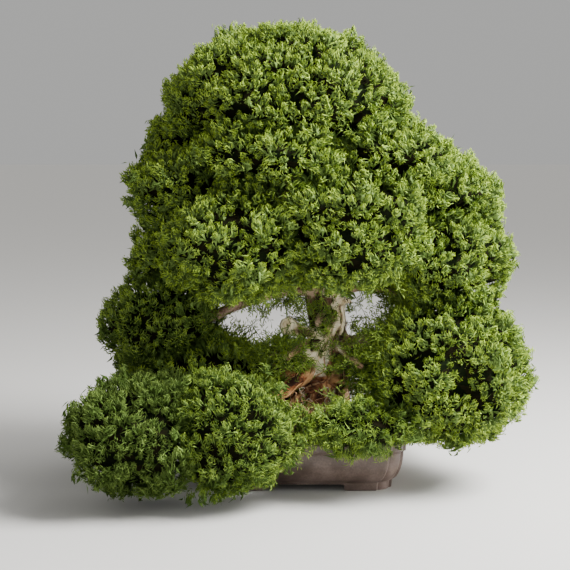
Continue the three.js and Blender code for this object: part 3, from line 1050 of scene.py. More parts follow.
@dataclass
class Foliage:
    """All the leafy pads: each one a dark core with tufts of fine shoots over it.

    Attributes:
        finish: the foliage's material.
        spacing: between neighbouring tufts.
        habits: how the pads grow whose name starts in a given way; the others are clipped.
        lump: size of the patches of like tone.
        sight: how far a ray must run free for its direction to count as open.
        least_open: share of open directions under which a tuft isn't grown.
        clump: width of the rounded clumps in which the tufts stand.
        clump_rise: how far the middle of a clump stands over its edge.
        clump_level: height in a clump, from 0 to 1, that lies on the pads' own surface.
        clump_flat: how much wider than high a clump is.
        clump_gap: least distance between two clumps' middles, as a share of their width.
        clump_reach: radius of a clump, as a share of its width.
        cleft_sink: how far tufts sink into a cleft, as a share of its depth.
        fanning: how far the tufts lean out of their clump.
        straying: how far they lean at random.
        size_spread: how much their sizes differ.
        smallest, largest: limits of those sizes.
        toning: what makes a tuft's tone.
        clearing: where no tuft grows, so that the pot's corner shows.
        table_gap: least height of a shoot over the table.
        skin_voxel: size of the faces of the surface round all pads.
        bridge: half the width of the clefts between pads that foliage can grow across.
        widest: how far from a pad's own surface it does so at most.
        inner_spacing: between the sprigs that fill the narrow clefts inside, which are coloured
            dark as painted shade.
        inner_tone: of those sprigs.
        inner: their shoots.
    """

    finish: ScaleFoliage = field(default_factory=ScaleFoliage)
    spacing: float = 11.7 * MM
    habits: tuple[tuple[str, Habit], ...] = (
        ("spray_", Habit.SHADED),
        ("pad_lower_front", Habit.DROOPING),
        ("pad_lower_left", Habit.LOWEST),
        ("pad_left_ear", Habit.LOW),
        ("pad_lower_centre", Habit.LOW),
    )
    lump: float = 55 * MM
    sight: float = 45 * MM
    least_open: float = 0.18
    clump: float = 72 * MM
    clump_rise: float = 20 * MM
    clump_level: float = 0.62
    clump_flat: float = 1.6
    clump_gap: float = 0.8
    clump_reach: float = 0.62
    cleft_sink: float = 0.3
    fanning: float = 0.75
    straying: float = 0.25
    size_spread: float = 0.22
    smallest: float = 0.6
    largest: float = 1.5
    toning: Toning = Toning()
    clearing: Spot = (140 * MM, -160 * MM, 48 * MM, 40 * MM)
    table_gap: float = 0.5 * MM
    skin_voxel: float = 5 * MM
    bridge: float = 34 * MM
    widest: float = 23 * MM
    inner_spacing: float = 17 * MM
    inner_tone: float = 0.3
    inner: Layer = Layer(
        shoots=7, length=24 * MM, width=4.5 * MM, reach=1.6, sunk=-8 * MM, tip_height=0.26
    )

    def build(self, middle: Vector) -> None:
        """Builds one piece for each foliage node.

        Args:
            middle: the middle of the pot.
        """
        nodes = sorted(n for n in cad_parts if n.startswith(("pad_", "spray_")))
        evened = [Surface.of_node(node).smoothed(3) for node in nodes]
        pads = joined_surfaces(evened)
        owners = np.repeat(np.arange(len(nodes)), [len(pad.triangles) for pad in evened])
        wood = Surface.of_node("trunk_and_branches").tree()
        skin = self.skin(pads)
        crowd, pad_tree = skin.tree(), pads.tree()
        material = self.finish.material()
        places, normals = scatter(skin, self.spacing, np.random.default_rng(500))
        openness = self.openness(places, normals, crowd, wood)
        found = [pad_tree.find_nearest(Vector(place)) for place in places]
        owner = owners[[face for _, _, face, _ in found]]
        clefts = np.array([distance for _, _, _, distance in found])
        *centre, radius = self.clearing
        away = np.linalg.norm(places - on_table(middle) - centre, axis=1)
        seen = (openness > self.least_open) & (clefts < self.widest) & (away > radius)
        places, normals, openness = places[seen], normals[seen], openness[seen]
        owner, clefts = owner[seen], clefts[seen]
        height, lean = self.clumps(places)
        total = 0
        for number, (node, pad) in enumerate(zip(nodes, evened)):
            random = np.random.default_rng(600 + number)
            habits = (habit for start, habit in self.habits if node.startswith(start))
            growth = next(habits, Habit.CLIPPED).value
            mine = (owner == number) & (random.random(len(owner)) < growth.kept)
            stand = Stand(
                places[mine], normals[mine], openness[mine], height[mine], lean[mine], clefts[mine]
            )
            tufts = self.tufts(stand, growth, random)
            parts = [tufts.brush(layer, growth, random) for layer in (growth.fine, growth.broad)]
            # Painted shade: the dark core sheet inside the pad and the dark sprigs in its clefts
            if growth.core:
                parts.append(self.core(pad, growth, random))
                parts.append(self.sprigs(pad, crowd, growth, random))
            surface, chart = joined(parts)
            surface.points[:, 2] = np.maximum(surface.points[:, 2], self.table_gap)
            seat(new_object(node + "_shoots", surface, chart), "foliage", material, node)
            total += len(surface.triangles)
        LOG.info("foliage: %d tufts, %d triangles", len(places), total)

    def skin(self, pads: Surface) -> Surface:
        """Wraps all pads in one surface that runs across the narrow clefts between them.

        Args:
            pads: all pads.

        Returns:
            The common surface.
        """
        swollen = Surface(pads.points + self.bridge * pads.normals(), pads.triangles)
        settings = {"mode": "VOXEL", "voxel_size": self.skin_voxel}
        wrapped = swollen.through(("REMESH", settings)).smoothed(4)
        return Surface(wrapped.points - self.bridge * wrapped.normals(), wrapped.triangles)

    def clumps(self, places: Array) -> tuple[Array, Array]:
        """Gathers the tufts into rounded clumps, wider than they are high.

        Args:
            places: where the tufts stand.

        Returns:
            Height of each tuft in its clump, from 0 to 1, and the way it leans outwards.
        """
        stretched = places * np.array([1.0, 1.0, self.clump_flat])
        apart = self.clump_gap * self.clump
        middles: list[Array] = []
        for place in stretched:
            if not middles or ((np.array(middles) - place) ** 2).sum(axis=1).min() > apart**2:
                middles.append(place)
        tree = KDTree(len(middles))
        for number, middle in enumerate(middles):
            tree.insert(Vector(middle), number)
        tree.balance()
        lean = np.array([place - np.array(tree.find(Vector(place))[0]) for place in stretched])
        lean /= self.clump_reach * self.clump
        return np.sqrt(np.clip(1 - (lean**2).sum(axis=1), 0.0, 1)), lean

    def openness(self, places: Array, normals: Array, crowd: BVHTree, wood: BVHTree) -> Array:
        """Measures how freely each place looks out of the tree.

        Args:
            places: places on a pad's surface.
            normals: the normals there.
            crowd: search tree of the surface round all pads.
            wood: search tree of the wood.

        Returns:
            Share of directions that are free, 0 for places that touch wood.
        """
        rays, widest, start_gap, wood_gap = 10, np.radians(70), 5 * MM, 2.5 * MM
        turns = GOLDEN_TURN * np.arange(rays)
        leans = widest * np.sqrt((np.arange(rays) + 0.3) / rays)
        result = np.zeros(len(places))
        asides = unit(np.cross(normals, [0.31, 0.87, 0.39]))
        besides = np.cross(normals, asides)
        ways = (
            np.cos(leans)[None, :, None] * normals[:, None]
            + (np.sin(leans) * np.cos(turns))[None, :, None] * asides[:, None]
            + (np.sin(leans) * np.sin(turns))[None, :, None] * besides[:, None]
        )
        starts = places + start_gap * normals
        for number, (place, start) in enumerate(zip(places, starts)):
            if wood.find_nearest(Vector(place), wood_gap)[0] is not None:
                continue
            hits = (crowd.ray_cast(Vector(start), Vector(way), self.sight) for way in ways[number])
            result[number] = np.mean([hit is None for hit, *_ in hits])
        return result

    def core(self, evened: Surface, growth: Growth, random: Random) -> Charted:
        """Makes the dark inside of a pad, drawn in from its surface.

        Args:
            evened: the pad with its tufts evened out.
            growth: how the pad grows.
            random: source of random numbers.

        Returns:
            The inside and its chart places, all near the chart's dark end, so it is painted shade.
        """
        inner = Surface(evened.points - growth.core * evened.normals(), evened.triangles)
        count = len(inner.triangles)
        columns = chart_columns(random.random(count))
        low = chance(random, 0.01, 0.05, count)
        return inner, chart_triangles(columns, FACE_HALF, (low, low, low + 0.03))

    def sprigs(
        self, evened: Surface, crowd: BVHTree, growth: Growth, random: Random
    ) -> Charted:
        """Fills the narrow clefts round a pad with dark sprigs, so that no light falls through.

        Args:
            evened: the pad with its tufts evened out.
            crowd: search tree of the surface round all pads.
            growth: how the pad grows.
            random: source of random numbers.

        Returns:
            The sprigs and their chart places, low on the chart, so dark as painted shade.
        """
        places, normals = scatter(evened, self.inner_spacing, random)
        depth = np.array([crowd.find_nearest(Vector(place))[3] for place in places])
        inside = depth > 0.5 * self.widest
        places, normals = places[inside], normals[inside]
        count = len(places)
        sprigs = Tufts(
            places=places,
            growing=normals,
            asides=sideways(normals, random),
            sizes=np.ones(count),
            tones=self.inner_tone + 0.1 * random.normal(size=count),
        )
        return sprigs.brush(self.inner, growth, random)

    def tufts(self, stand: Stand, growth: Growth, random: Random) -> "Tufts":
        """Works out how the tufts grow at each place.

        Args:
            stand: where and how the tufts stand.
            growth: how the pad grows.
            random: source of random numbers.

        Returns:
            The tufts.
        """
        count = len(stand.places)
        sunk = self.clump_rise * (self.clump_level - stand.height)
        sunk = sunk + self.cleft_sink * stand.clefts
        sunk += growth.unevenness * random.normal(size=count).clip(-2, 2)
        places = stand.places - sunk[:, None] * stand.normals
        strays = self.straying * random.normal(size=(count, 3))
        growing = unit(stand.normals + self.fanning * stand.lean + growth.rise * UP + strays)
        toning = self.toning
        lumps = soft_noise(places, self.lump, 3) + 0.6 * soft_noise(places, 0.4 * self.lump, 4)
        tones = toning.base + toning.lumps * lumps + toning.tufts * random.normal(size=count)
        # Painted light and shade: tufts that grow upwards, look out freely or top their clump are
        # made lighter, tufts in clefts darker, and the low and shaded pads darker through their
        # habit's tone
        tones = tones + toning.upward * growing[:, 2]
        tones += toning.openness * stand.openness + toning.height * stand.height
        tones += growth.tone - toning.cleft * np.minimum(1, stand.clefts / toning.painted_shade_cleft_width)
        return Tufts(
            places=places,
            growing=growing,
            asides=sideways(growing, random),
            sizes=(1 + self.size_spread * random.normal(size=count)).clip(
                self.smallest, self.largest
            ),
            tones=tones,
        )


@dataclass(frozen=True)
class Variety:
    """How much the shoots of one tuft differ from each other.

    Attributes:
        out: in their distance from the tuft's middle, as a share of it.
        rise: in the height of their tips.
        way: in the way that they point.
        tone: in their tone.
        lengths: least length as a share of the layer's, and how much more there can be.
        widths: the same of the width.
        root_height: of their roots on the colour chart.
        tip_height: how far their tips can lie below the layer's tips on the colour chart.
    """

    out: float = 0.12
    rise: float = 1.3 * MM
    way: float = 0.42
    tone: float = 0.1
    lengths: tuple[float, float] = (0.65, 0.6)
    # root_height: of their roots on the colour chart, low, so the roots are painted shade.
    widths: tuple[float, float] = (0.75, 0.5)
    root_height: float = 0.12
    tip_height: float = 0.12


@dataclass
class Tufts:
    """Many tufts of shoots, each one a domed brush.

    Attributes:
        places: where each tuft stands.
        growing: the way in which it grows.
        asides: a way at right angles to that.
        sizes: its size, around 1.
        tones: its tone, from 0 to 1.
        variety: how much a tuft's shoots differ.
    """

    places: Array
    growing: Array
    asides: Array
    sizes: Array
    tones: Array
    variety: Variety = Variety()

    def brush(self, layer: Layer, growth: Growth, random: Random) -> Charted:
        """Makes one layer of the tufts' shoots.

        Args:
            layer: which layer.
            growth: how the pad grows.
            random: source of random numbers.

        Returns:
            The shoots and their chart places.
        """
        count, vary = len(self.places), self.variety
        shape = (count, layer.shoots)
        number = np.arange(layer.shoots)
        out = np.sqrt((number + 0.5) / layer.shoots)[None]
        out = out * (1 + vary.out * random.normal(size=shape))
        turns = GOLDEN_TURN * number[None] + 2 * math.pi * random.random((count, 1))
        radial = swung(self.growing, self.asides, turns)
        rise = growth.lift - layer.sunk + growth.dome * (1 - out**2) * self.sizes[:, None]
        rise = rise + vary.rise * random.normal(size=shape)
        radius = growth.radius * layer.reach * self.sizes
        tips = (
            self.places[:, None]
            + (radius[:, None] * out)[..., None] * radial
            + rise[..., None] * self.growing[:, None]
        )
        ways = unit(
            self.growing[:, None]
            + (growth.spread * out)[..., None] * radial
            + vary.way * random.normal(size=(*shape, 3))
        )
        lengths = layer.length * chance(random, *vary.lengths, shape)
        widths = layer.width * chance(random, *vary.widths, shape)
        tones = self.tones[:, None] + vary.tone * random.normal(size=shape)
        bottom = np.full(shape, vary.root_height)
        top = layer.tip_height - vary.tip_height * random.random(shape)
        return spindles(
            (tips - lengths[..., None] * ways).reshape(-1, 3),
            tips.reshape(-1, 3),
            widths.ravel(),
            tones.ravel(),
            np.stack([bottom, top], axis=-1).reshape(-1, 2),
            random,
        )


# Wood


@dataclass
class GrainedWood:
    """A piece of wood remade from its CAD solid with grain that runs along every limb.

    Attributes:
        node: the CAD node.
        slot: its material slot.
        finish: its material.
        voxel: size of the mesh's faces.
        evening: rounds of smoothing that take away the facets.
        swirl: how far the grain winds round the limbs, in degrees.
        strip_height: of the broad strips of bark or grain.
        fibre_height: of the fine fibres.
        strands: loose strips that peel from the surface.
        strand_steps: number of places along a strand.
        strand_step: distance from one to the next.
        strand_width: of a strand.
        strand_lift: least gap between a strand and the surface.
        strand_curl: how much further its ends stand off.
        strand_stray: how far it strays from the grain at each step.
        grain_mix: grain value of even wood, and what the strips and the fibres add to it.
        red_below: height under which the bark is rust red.
        red_fade: height over which the red fades in.
        low_redness: of the bark near the soil.
        bare: where streaks of bare wood show.
        bare_start: nearness to such a place over which they show everywhere.
        bare_reach: nearness over which they show on the strips only.
        fresh: where the bark is freshly rust red.
        fresh_redness: of the bark there.
        spot_height: how much heights count in the nearness to such places.
        upright: how far the grain turns from the limb's way to upright, from 0 to 1.
        middle: the middle of the pot.
        seed: of the random numbers.
    """

    node: str
    slot: str
    finish: StringyBark | WeatheredDeadwood
    voxel: float
    evening: int
    swirl: float
    strip_height: float
    fibre_height: float
    strands: int
    strand_steps: int = 8
    strand_step: float = 7 * MM
    strand_width: float = 2.6 * MM
    strand_lift: float = 0.5 * MM
    strand_curl: float = 1.2 * MM
    strand_stray: float = 0.12
    grain_mix: tuple[float, float, float] = (0.42, 0.24, 0.2)
    red_below: float = 0.0
    red_fade: float = 60 * MM
    low_redness: float = 0.35
    bare: tuple[Spot, ...] = ()
    bare_start: float = 0.45
    bare_reach: float = 0.15
    fresh: tuple[Spot, ...] = ()
    fresh_redness: float = 0.8
    spot_height: float = 0.55
    upright: float = 0.0
    middle: Vector = field(default_factory=Vector)
    seed: int = 7

    def build(self) -> Surface:
        """Builds the piece.

        Returns:
            The wood's surface without its loose strands.
        """
        random = np.random.default_rng(self.seed)
        settings = {"mode": "VOXEL", "voxel_size": self.voxel}
        surface = Surface.of_node(self.node).through(("REMESH", settings)).smoothed(self.evening)
        edges, normals = surface.edges(), surface.normals()
        ways = self.grain_ways(normals, edges)
        runs = unit(surface.points[edges[:, 0]] - surface.points[edges[:, 1]])
        along = np.abs((runs * ways[edges[:, 0]]).sum(axis=1))
        strips, fibres = (
            self.streaks(len(surface.points), edges, along, random, spread, length)
            for spread, length in ((6, 50), (0, 24))
        )
        height = self.strip_height * strips + self.fibre_height * fibres
        shaped = Surface(surface.points + height[:, None] * normals, surface.triangles)
        loose, loose_grain = self.peeling(shaped, normals, ways, random)
        whole = joined_surfaces([shaped, loose])
        piece = new_object(self.node + "_wood", whole, smooth=True)
        even, strip_share, fibre_share = self.grain_mix
        grain = np.clip(even + strip_share * strips + fibre_share * fibres, 0, 1)
        set_values(piece, "grain", np.concatenate([grain, loose_grain]))
        depth = (self.red_below - whole.points[:, 2]) / self.red_fade
        redness = np.clip(depth, 0.0, self.low_redness)
        redness += self.fresh_redness * self.nearness(whole.points, self.fresh)
        set_values(piece, "redness", redness)
        share = self.nearness(shaped.points, self.bare)
        bareness = 3 * (share - self.bare_start) + 1.2 * strips * (share > self.bare_reach)
        bareness = np.concatenate([np.clip(bareness, 0, 1), np.zeros(len(loose_grain))])
        set_values(piece, "bareness", bareness)
        seat(piece, self.slot, self.finish.material(), self.node)
        return shaped

    def nearness(self, points: Array, spots: tuple[Spot, ...]) -> Array:
        """Measures how near points are to chosen spots, which are taller than wide.

        Args:
            points: places on the wood.
            spots: the spots.

        Returns:
            A value from 0 to 1 for each point.
        """
        at = points - on_table(self.middle)
        share = np.zeros(len(points))
        for *centre, radius in spots:
            offsets = (at - centre) * np.array([1.0, 1.0, self.spot_height])
            share = np.maximum(share, bell(offsets, radius))
        return share

    def peeling(
        self, shaped: Surface, normals: Array, ways: Array, random: Random
    ) -> tuple[Surface, Array]:
        """Lays loose strips along the grain.

        Args:
            shaped: the wood's surface.
            normals: the way out at each of its vertices.
            ways: the way of the grain at each of its vertices.
            random: source of random numbers.

        Returns:
            The strips, and the grain value of each of their vertices.
        """
        steps = self.strand_steps
        tree = shaped.tree()
        starts, _ = scatter(shaped, 4 * self.strand_step, random)
        starts = starts[random.permutation(len(starts))[: self.strands]]
        paths = np.empty((len(starts), steps, 3))
        ups = np.empty_like(paths)
        curls = np.abs(np.linspace(-1, 1, steps)) ** 3
        for number, start in enumerate(starts):
            place, heading = start, None
            for step in range(steps):
                near, _, face, _ = tree.find_nearest(Vector(place))
                vertex = shaped.triangles[face, 0]
                way = ways[vertex]
                heading = way if heading is None or way @ heading > 0 else -way
                lift = self.strand_lift + self.strand_curl * curls[step]
                paths[number, step] = np.array(near) + lift * normals[vertex]
                ups[number, step] = normals[vertex]
                stray = self.strand_stray * random.normal(size=3)
                place = np.array(near) + self.strand_step * unit(heading + stray)
        widths = self.strand_width * chance(random, 0.5, 1, (len(starts), 1)) * np.ones((1, steps))
        grain = chance(random, 0.45, 0.5, len(starts))
        surface = cords(paths, widths, ups, flat=0.5)
        return surface, np.repeat(grain, len(surface.points) // max(1, len(starts)))

    def grain_ways(self, normals: Array, edges: Array) -> Array:
        """Finds the way in which each limb runs, from how little the surface turns along it.

        Args:
            normals: outward normals of the vertices.
            edges: pairs of vertex numbers.

        Returns:
            A unit vector for each vertex, tilted by the swirl.
        """
        spread = np.einsum("ni,nj->nij", normals, normals)
        for _ in range(24):
            spread = 0.4 * spread + 0.6 * neighbour_mean(spread, edges)
        _, ways = np.linalg.eigh(spread)
        limb = ways[:, :, 0]
        limb = unit(limb - (limb * normals).sum(axis=1, keepdims=True) * normals)
        rising = UP - normals[:, 2:] * normals
        limb = np.where(limb[:, 2:] < 0, -limb, limb)
        limb = unit((1 - self.upright) * limb + self.upright * rising)
        angle = math.radians(self.swirl)
        return unit(math.cos(angle) * limb + math.sin(angle) * np.cross(normals, limb))

    def streaks(
        self,
        count: int,
        edges: Array,
        along: Array,
        random: Random,
        spread: int,
        length: int,
    ) -> Array:
        """Draws out random spots into streaks that follow the grain.

        Args:
            count: number of vertices.
            edges: pairs of vertex numbers.
            along: how well each edge lies along the grain, from 0 to 1.
            random: source of random numbers.
            spread: rounds that widen the spots first.
            length: rounds that draw them out.

        Returns:
            One value for each vertex, mostly between -2 and 2.
        """
        values = random.normal(size=count)
        for _ in range(spread):
            values = 0.5 * values + 0.5 * neighbour_mean(values, edges)
        for _ in range(length):
            values = 0.4 * values + 0.6 * neighbour_mean(values, edges, along**10 + 0.004)
        values -= values.mean()
        return np.tanh(values / values.std() * 0.8) * 1.25


@dataclass
class FineRoots:
    """Thin surface roots that run from the foot of the trunk into the soil.

    Attributes:
        count: number of roots.
        steps: number of places along a root.
        step: distance from one to the next.
        thickness: of the thickest root.
        foot: the trunk's foot, from the pot's middle at table level.
        heights: lowest and highest start on the trunk.
        reach: how far from the trunk's foot they start at most.
        steepest: how far the bark faces upwards at a start at most.
        straying: how far a root turns at random at each step.
        falling: how far it turns downwards at each step.
        ridge: the way in which all roots have their ridge.
        bare_share: share of the roots whose bark has gone.
    """

    count: int = 150
    steps: int = 11
    step: float = 7 * MM
    thickness: float = 4.4 * MM
    foot: tuple[float, float, float] = (20 * MM, -4 * MM, 0.0)
    heights: tuple[float, float] = (96 * MM, 150 * MM)
    reach: float = 75 * MM
    steepest: float = 0.6
    straying: float = 0.7
    falling: float = 0.2
    ridge: tuple[float, float, float] = (0.2, -0.3, 0.93)
    bare_share: float = 0.14

    def build(self, wood: Surface, finish: StringyBark, middle: Vector) -> None:
        """Builds the roots.

        Args:
            wood: the trunk's surface.
            finish: the bark that the roots share.
            middle: the middle of the pot.
        """
        random = np.random.default_rng(17)
        starts, outs = scatter(wood, 5 * MM, random)
        foot = on_table(middle) + self.foot
        low, high = self.heights
        near = np.linalg.norm((starts - foot)[:, :2], axis=1) < self.reach
        near &= (starts[:, 2] > low) & (starts[:, 2] < high) & (outs[:, 2] < self.steepest)
        starts, outs = starts[near][: self.count], outs[near][: self.count]
        count = len(starts)
        paths = self.paths(starts, outs, wood.tree(), random)
        taper = np.linspace(1, 0.35, self.steps)[None]
        widths = self.thickness * (0.35 + 0.65 * random.random((count, 1)) ** 2) * taper
        surface = cords(paths, widths, np.broadcast_to(self.ridge, paths.shape))
        piece = new_object("surface_roots", surface, smooth=True)
        values = {
            "grain": chance(random, 0.3, 0.65, count),
            "redness": chance(random, 0, 0.7, count),
            "bareness": 0.8 * (random.random(count) < self.bare_share),
        }
        for name, each in values.items():
            set_values(piece, name, np.repeat(each, len(surface.points) // count))
        seat(piece, "bark", finish.material())

    def paths(self, starts: Array, outs: Array, wood: BVHTree, random: Random) -> Array:
        """Lets each root wander down, outside the wood and just under the soil.

        Args:
            starts: where the roots leave the trunk.
            outs: the way out of the trunk there.
            wood: search tree of the trunk.
            random: source of random numbers.

        Returns:
            Places along each root, with roots first.
        """
        ground = Surface.of_node("soil").tree()
        sunk, nearest, wood_gap, sky = 1 * MM, 1 * MM, 1.2 * MM, 200 * MM
        paths = np.empty((len(starts), self.steps, 3))
        for number, (place, out) in enumerate(zip(starts, outs)):
            heading = unit(out - 0.3 * UP + 0.6 * random.normal(size=3))
            place = place - 1.5 * MM * out
            for step in range(self.steps):
                paths[number, step] = place
                stray = self.straying * random.normal(size=3)
                heading = unit(heading - self.falling * UP + stray)
                place = place + self.step * heading
                hit, normal, _, _ = wood.find_nearest(Vector(place))
                if (Vector(place) - hit).dot(normal) < nearest:
                    place = np.array(hit + wood_gap * normal)
                floor = ground.ray_cast(Vector((place[0], place[1], sky)), Vector((0, 0, -1)))[0]
                if floor is not None and place[2] < floor.z - sunk:
                    place[2] = floor.z - sunk
        return paths


@dataclass
class OldWoodShoots:
    """Loose feathery shoots that break from the trunk and the bare parts of the branches.

    Attributes:
        count: number of shoots.
        length: of a shoot.
        rise: how much shoots turn upwards.
        straying: how much they turn at random.
        bend: how much they bend on their way.
        stem_width: of a shoot's stem.
        leaves: side leaves on a shoot.
        leaf_length: of a side leaf.
        leaf_width: of a side leaf.
        first_leaf: share of the length at which the leaves start.
        tone: of the shoots, from 0 to 1.
        tone_spread: how much whole shoots differ in it, and how much their leaves.
        leaf_chart: height on the colour chart of a leaf's root and tip.
        stem_chart: height on the colour chart of a stem's root and tip.
        spacing: between the places where a shoot can stand.
        elsewhere: how thick they stand outside the thickets.
        high: height over which they do so.
        lowest: height under which none stand.
        thickets: where they stand thickest, all in millimetres: x, y and z from the pot's middle at
            table level, and radius; and how thick.
        open_roots: where the bare roots are to be seen, so that none stand.
        bearers: the pads from whose undersides they hang as well.
    """

    count: int = 1260
    length: float = 30 * MM
    rise: float = 0.25
    straying: float = 0.5
    bend: float = 0.35
    stem_width: float = 1.3 * MM
    leaves: int = 13
    leaf_length: float = 9 * MM
    leaf_width: float = 1.5 * MM
    first_leaf: float = 0.2
    tone: float = 0.45
    tone_spread: tuple[float, float] = (0.16, 0.08)
    leaf_chart: tuple[float, float] = (0.3, 0.85)
    stem_chart: tuple[float, float] = (0.05, 0.6)
    spacing: float = 4 * MM
    elsewhere: float = 0.05
    high: float = 160 * MM
    lowest: float = 82 * MM
    thickets: tuple[tuple[float, float, float, float, float], ...] = (
        (10, -30, 235, 32, 0.3),
        (34, -30, 190, 34, 0.2),
        (-30, -22, 286, 22, 1.8),
        (-90, -28, 272, 26, 0.6),
        (-55, -24, 284, 24, 0.8),
        (-12, -22, 276, 22, 2.0),
        (110, -20, 200, 30, 0.8),
        (135, -12, 250, 34, 1.0),
        (-66, -92, 282, 20, 0.8),
        (-36, -88, 286, 20, 1.2),
        (-12, -78, 292, 26, 3.0),
        (100, -84, 300, 22, 1.0),
        (-116, -60, 228, 20, 0.7),
        (-82, -60, 218, 22, 1.0),
        (-50, -62, 208, 24, 1.2),
        (98, -70, 230, 20, 1.0),
        (118, -70, 256, 18, 1.0),
        (132, 5, 266, 26, 1.0),
        (82, -60, 186, 18, 0.7),
        (-24, -62, 198, 16, 0.6),
        (8, -78, 96, 18, 0.8),
        (6, -165, 92, 26, 1.0),
        (-37, -100, 134, 14, 0.8),
        (86, -104, 132, 16, 0.8),
    )
    open_roots: Spot = (14 * MM, -66 * MM, 150 * MM, 30 * MM)
    bearers: tuple[str, ...] = (
        "pad_front_left",
        "pad_front_right",
        "pad_behind_lower_left",
        "pad_lower_right",
        "pad_inner_right",
        "pad_lower_front",
        "pad_lower_centre",
        "spray_left_of_trunk",
        "spray_right_of_trunk",
    )

    def build(self, wood: Surface, finish: ScaleFoliage, middle: Vector) -> None:
        """Builds the shoots.

        Args:
            wood: the trunk and branches.
            finish: the foliage's finish.
            middle: the middle of the pot.
        """
        random = np.random.default_rng(23)
        bearers = [wood, *map(Surface.of_node, self.bearers)]
        stands = [scatter(bearer, self.spacing, random) for bearer in bearers]
        places, normals = (np.concatenate(values) for values in zip(*stands))
        weight = self.elsewhere * (places[:, 2] > self.high)
        weight[len(stands[0][0]) :] = 0
        at = places - on_table(middle)
        for x, y, z, radius, thick in self.thickets:
            weight += thick * bell(at - np.array([x, y, z]) * MM, radius * MM)
        *centre, radius = self.open_roots
        weight *= 1 - bell(at - centre, radius)
        weight *= at[:, 2] > self.lowest
        chosen = random.choice(len(places), self.count, replace=False, p=weight / weight.sum())
        parts = self.shoots(places[chosen], normals[chosen], random)
        seat(new_object("old_wood_shoots", *joined(parts)), "foliage", finish.material())

    def shoots(self, places: Array, normals: Array, random: Random) -> list[Charted]:
        """Makes a bent stem at each place, with leaves in a spiral round it.

        Args:
            places: where the shoots start.
            normals: the way out of the wood there.
            random: source of random numbers.

        Returns:
            The leaves and the stems, each with their chart places.
        """
        count = len(places)
        strays = self.straying * random.normal(size=(count, 3))
        ways = unit(normals + self.rise * UP + strays)
        lengths = self.length * chance(random, 0.5, 0.7, count)
        bends = self.bend * random.normal(size=(count, 3))
        leaf = np.arange(self.leaves)
        along = self.first_leaf + (1 - self.first_leaf) * (leaf + 0.5) / self.leaves
        share = along[None] * np.ones((count, 1))
        roots, ends = (
            places[:, None]
            + (part * lengths[:, None])[..., None]
            * (ways[:, None] + (part**2)[..., None] * bends[:, None])
            for part in (share, np.tile([0.0, 1.0], (count, 1)))
        )
        asides = sideways(ways, random)
        turns = GOLDEN_TURN * leaf[None] + 2 * math.pi * random.random((count, 1))
        radial = swung(ways, asides, turns)
        out = unit(0.9 * ways[:, None] + 0.75 * radial + 0.25 * random.normal(size=roots.shape))
        leaf_lengths = self.leaf_length * chance(random, 0.6, 0.6, share.shape)
        tips = roots + leaf_lengths[..., None] * out
        shoot_spread, leaf_spread = self.tone_spread
        tones = (self.tone + shoot_spread * random.normal(size=count))[:, None]
        tones = tones + leaf_spread * random.normal(size=share.shape)
        leaves = spindles(
            roots.reshape(-1, 3),
            tips.reshape(-1, 3),
            np.full(share.size, self.leaf_width),
            tones.ravel(),
            np.tile(self.leaf_chart, (share.size, 1)),
            random,
        )
        stems = spindles(
            ends[:, 0],
            ends[:, 1],
            np.full(count, self.stem_width),
            tones[:, 0],
            np.tile(self.stem_chart, (count, 1)),
            random,
        )
        return [leaves, stems]


# Pot


def arc(x: float, y: float, radius: float, degrees: list[float] | Array) -> Outline:
    """Returns points on a circle round x and y, at the given angles."""
    return [(x + radius * math.cos(a), y + radius * math.sin(a)) for a in np.radians(degrees)]


def ring_sides(count: int) -> list[tuple[int, int]]:
    """Returns the numbers of both ends of each side of a closed ring."""
    return [(i, (i + 1) % count) for i in range(count)]


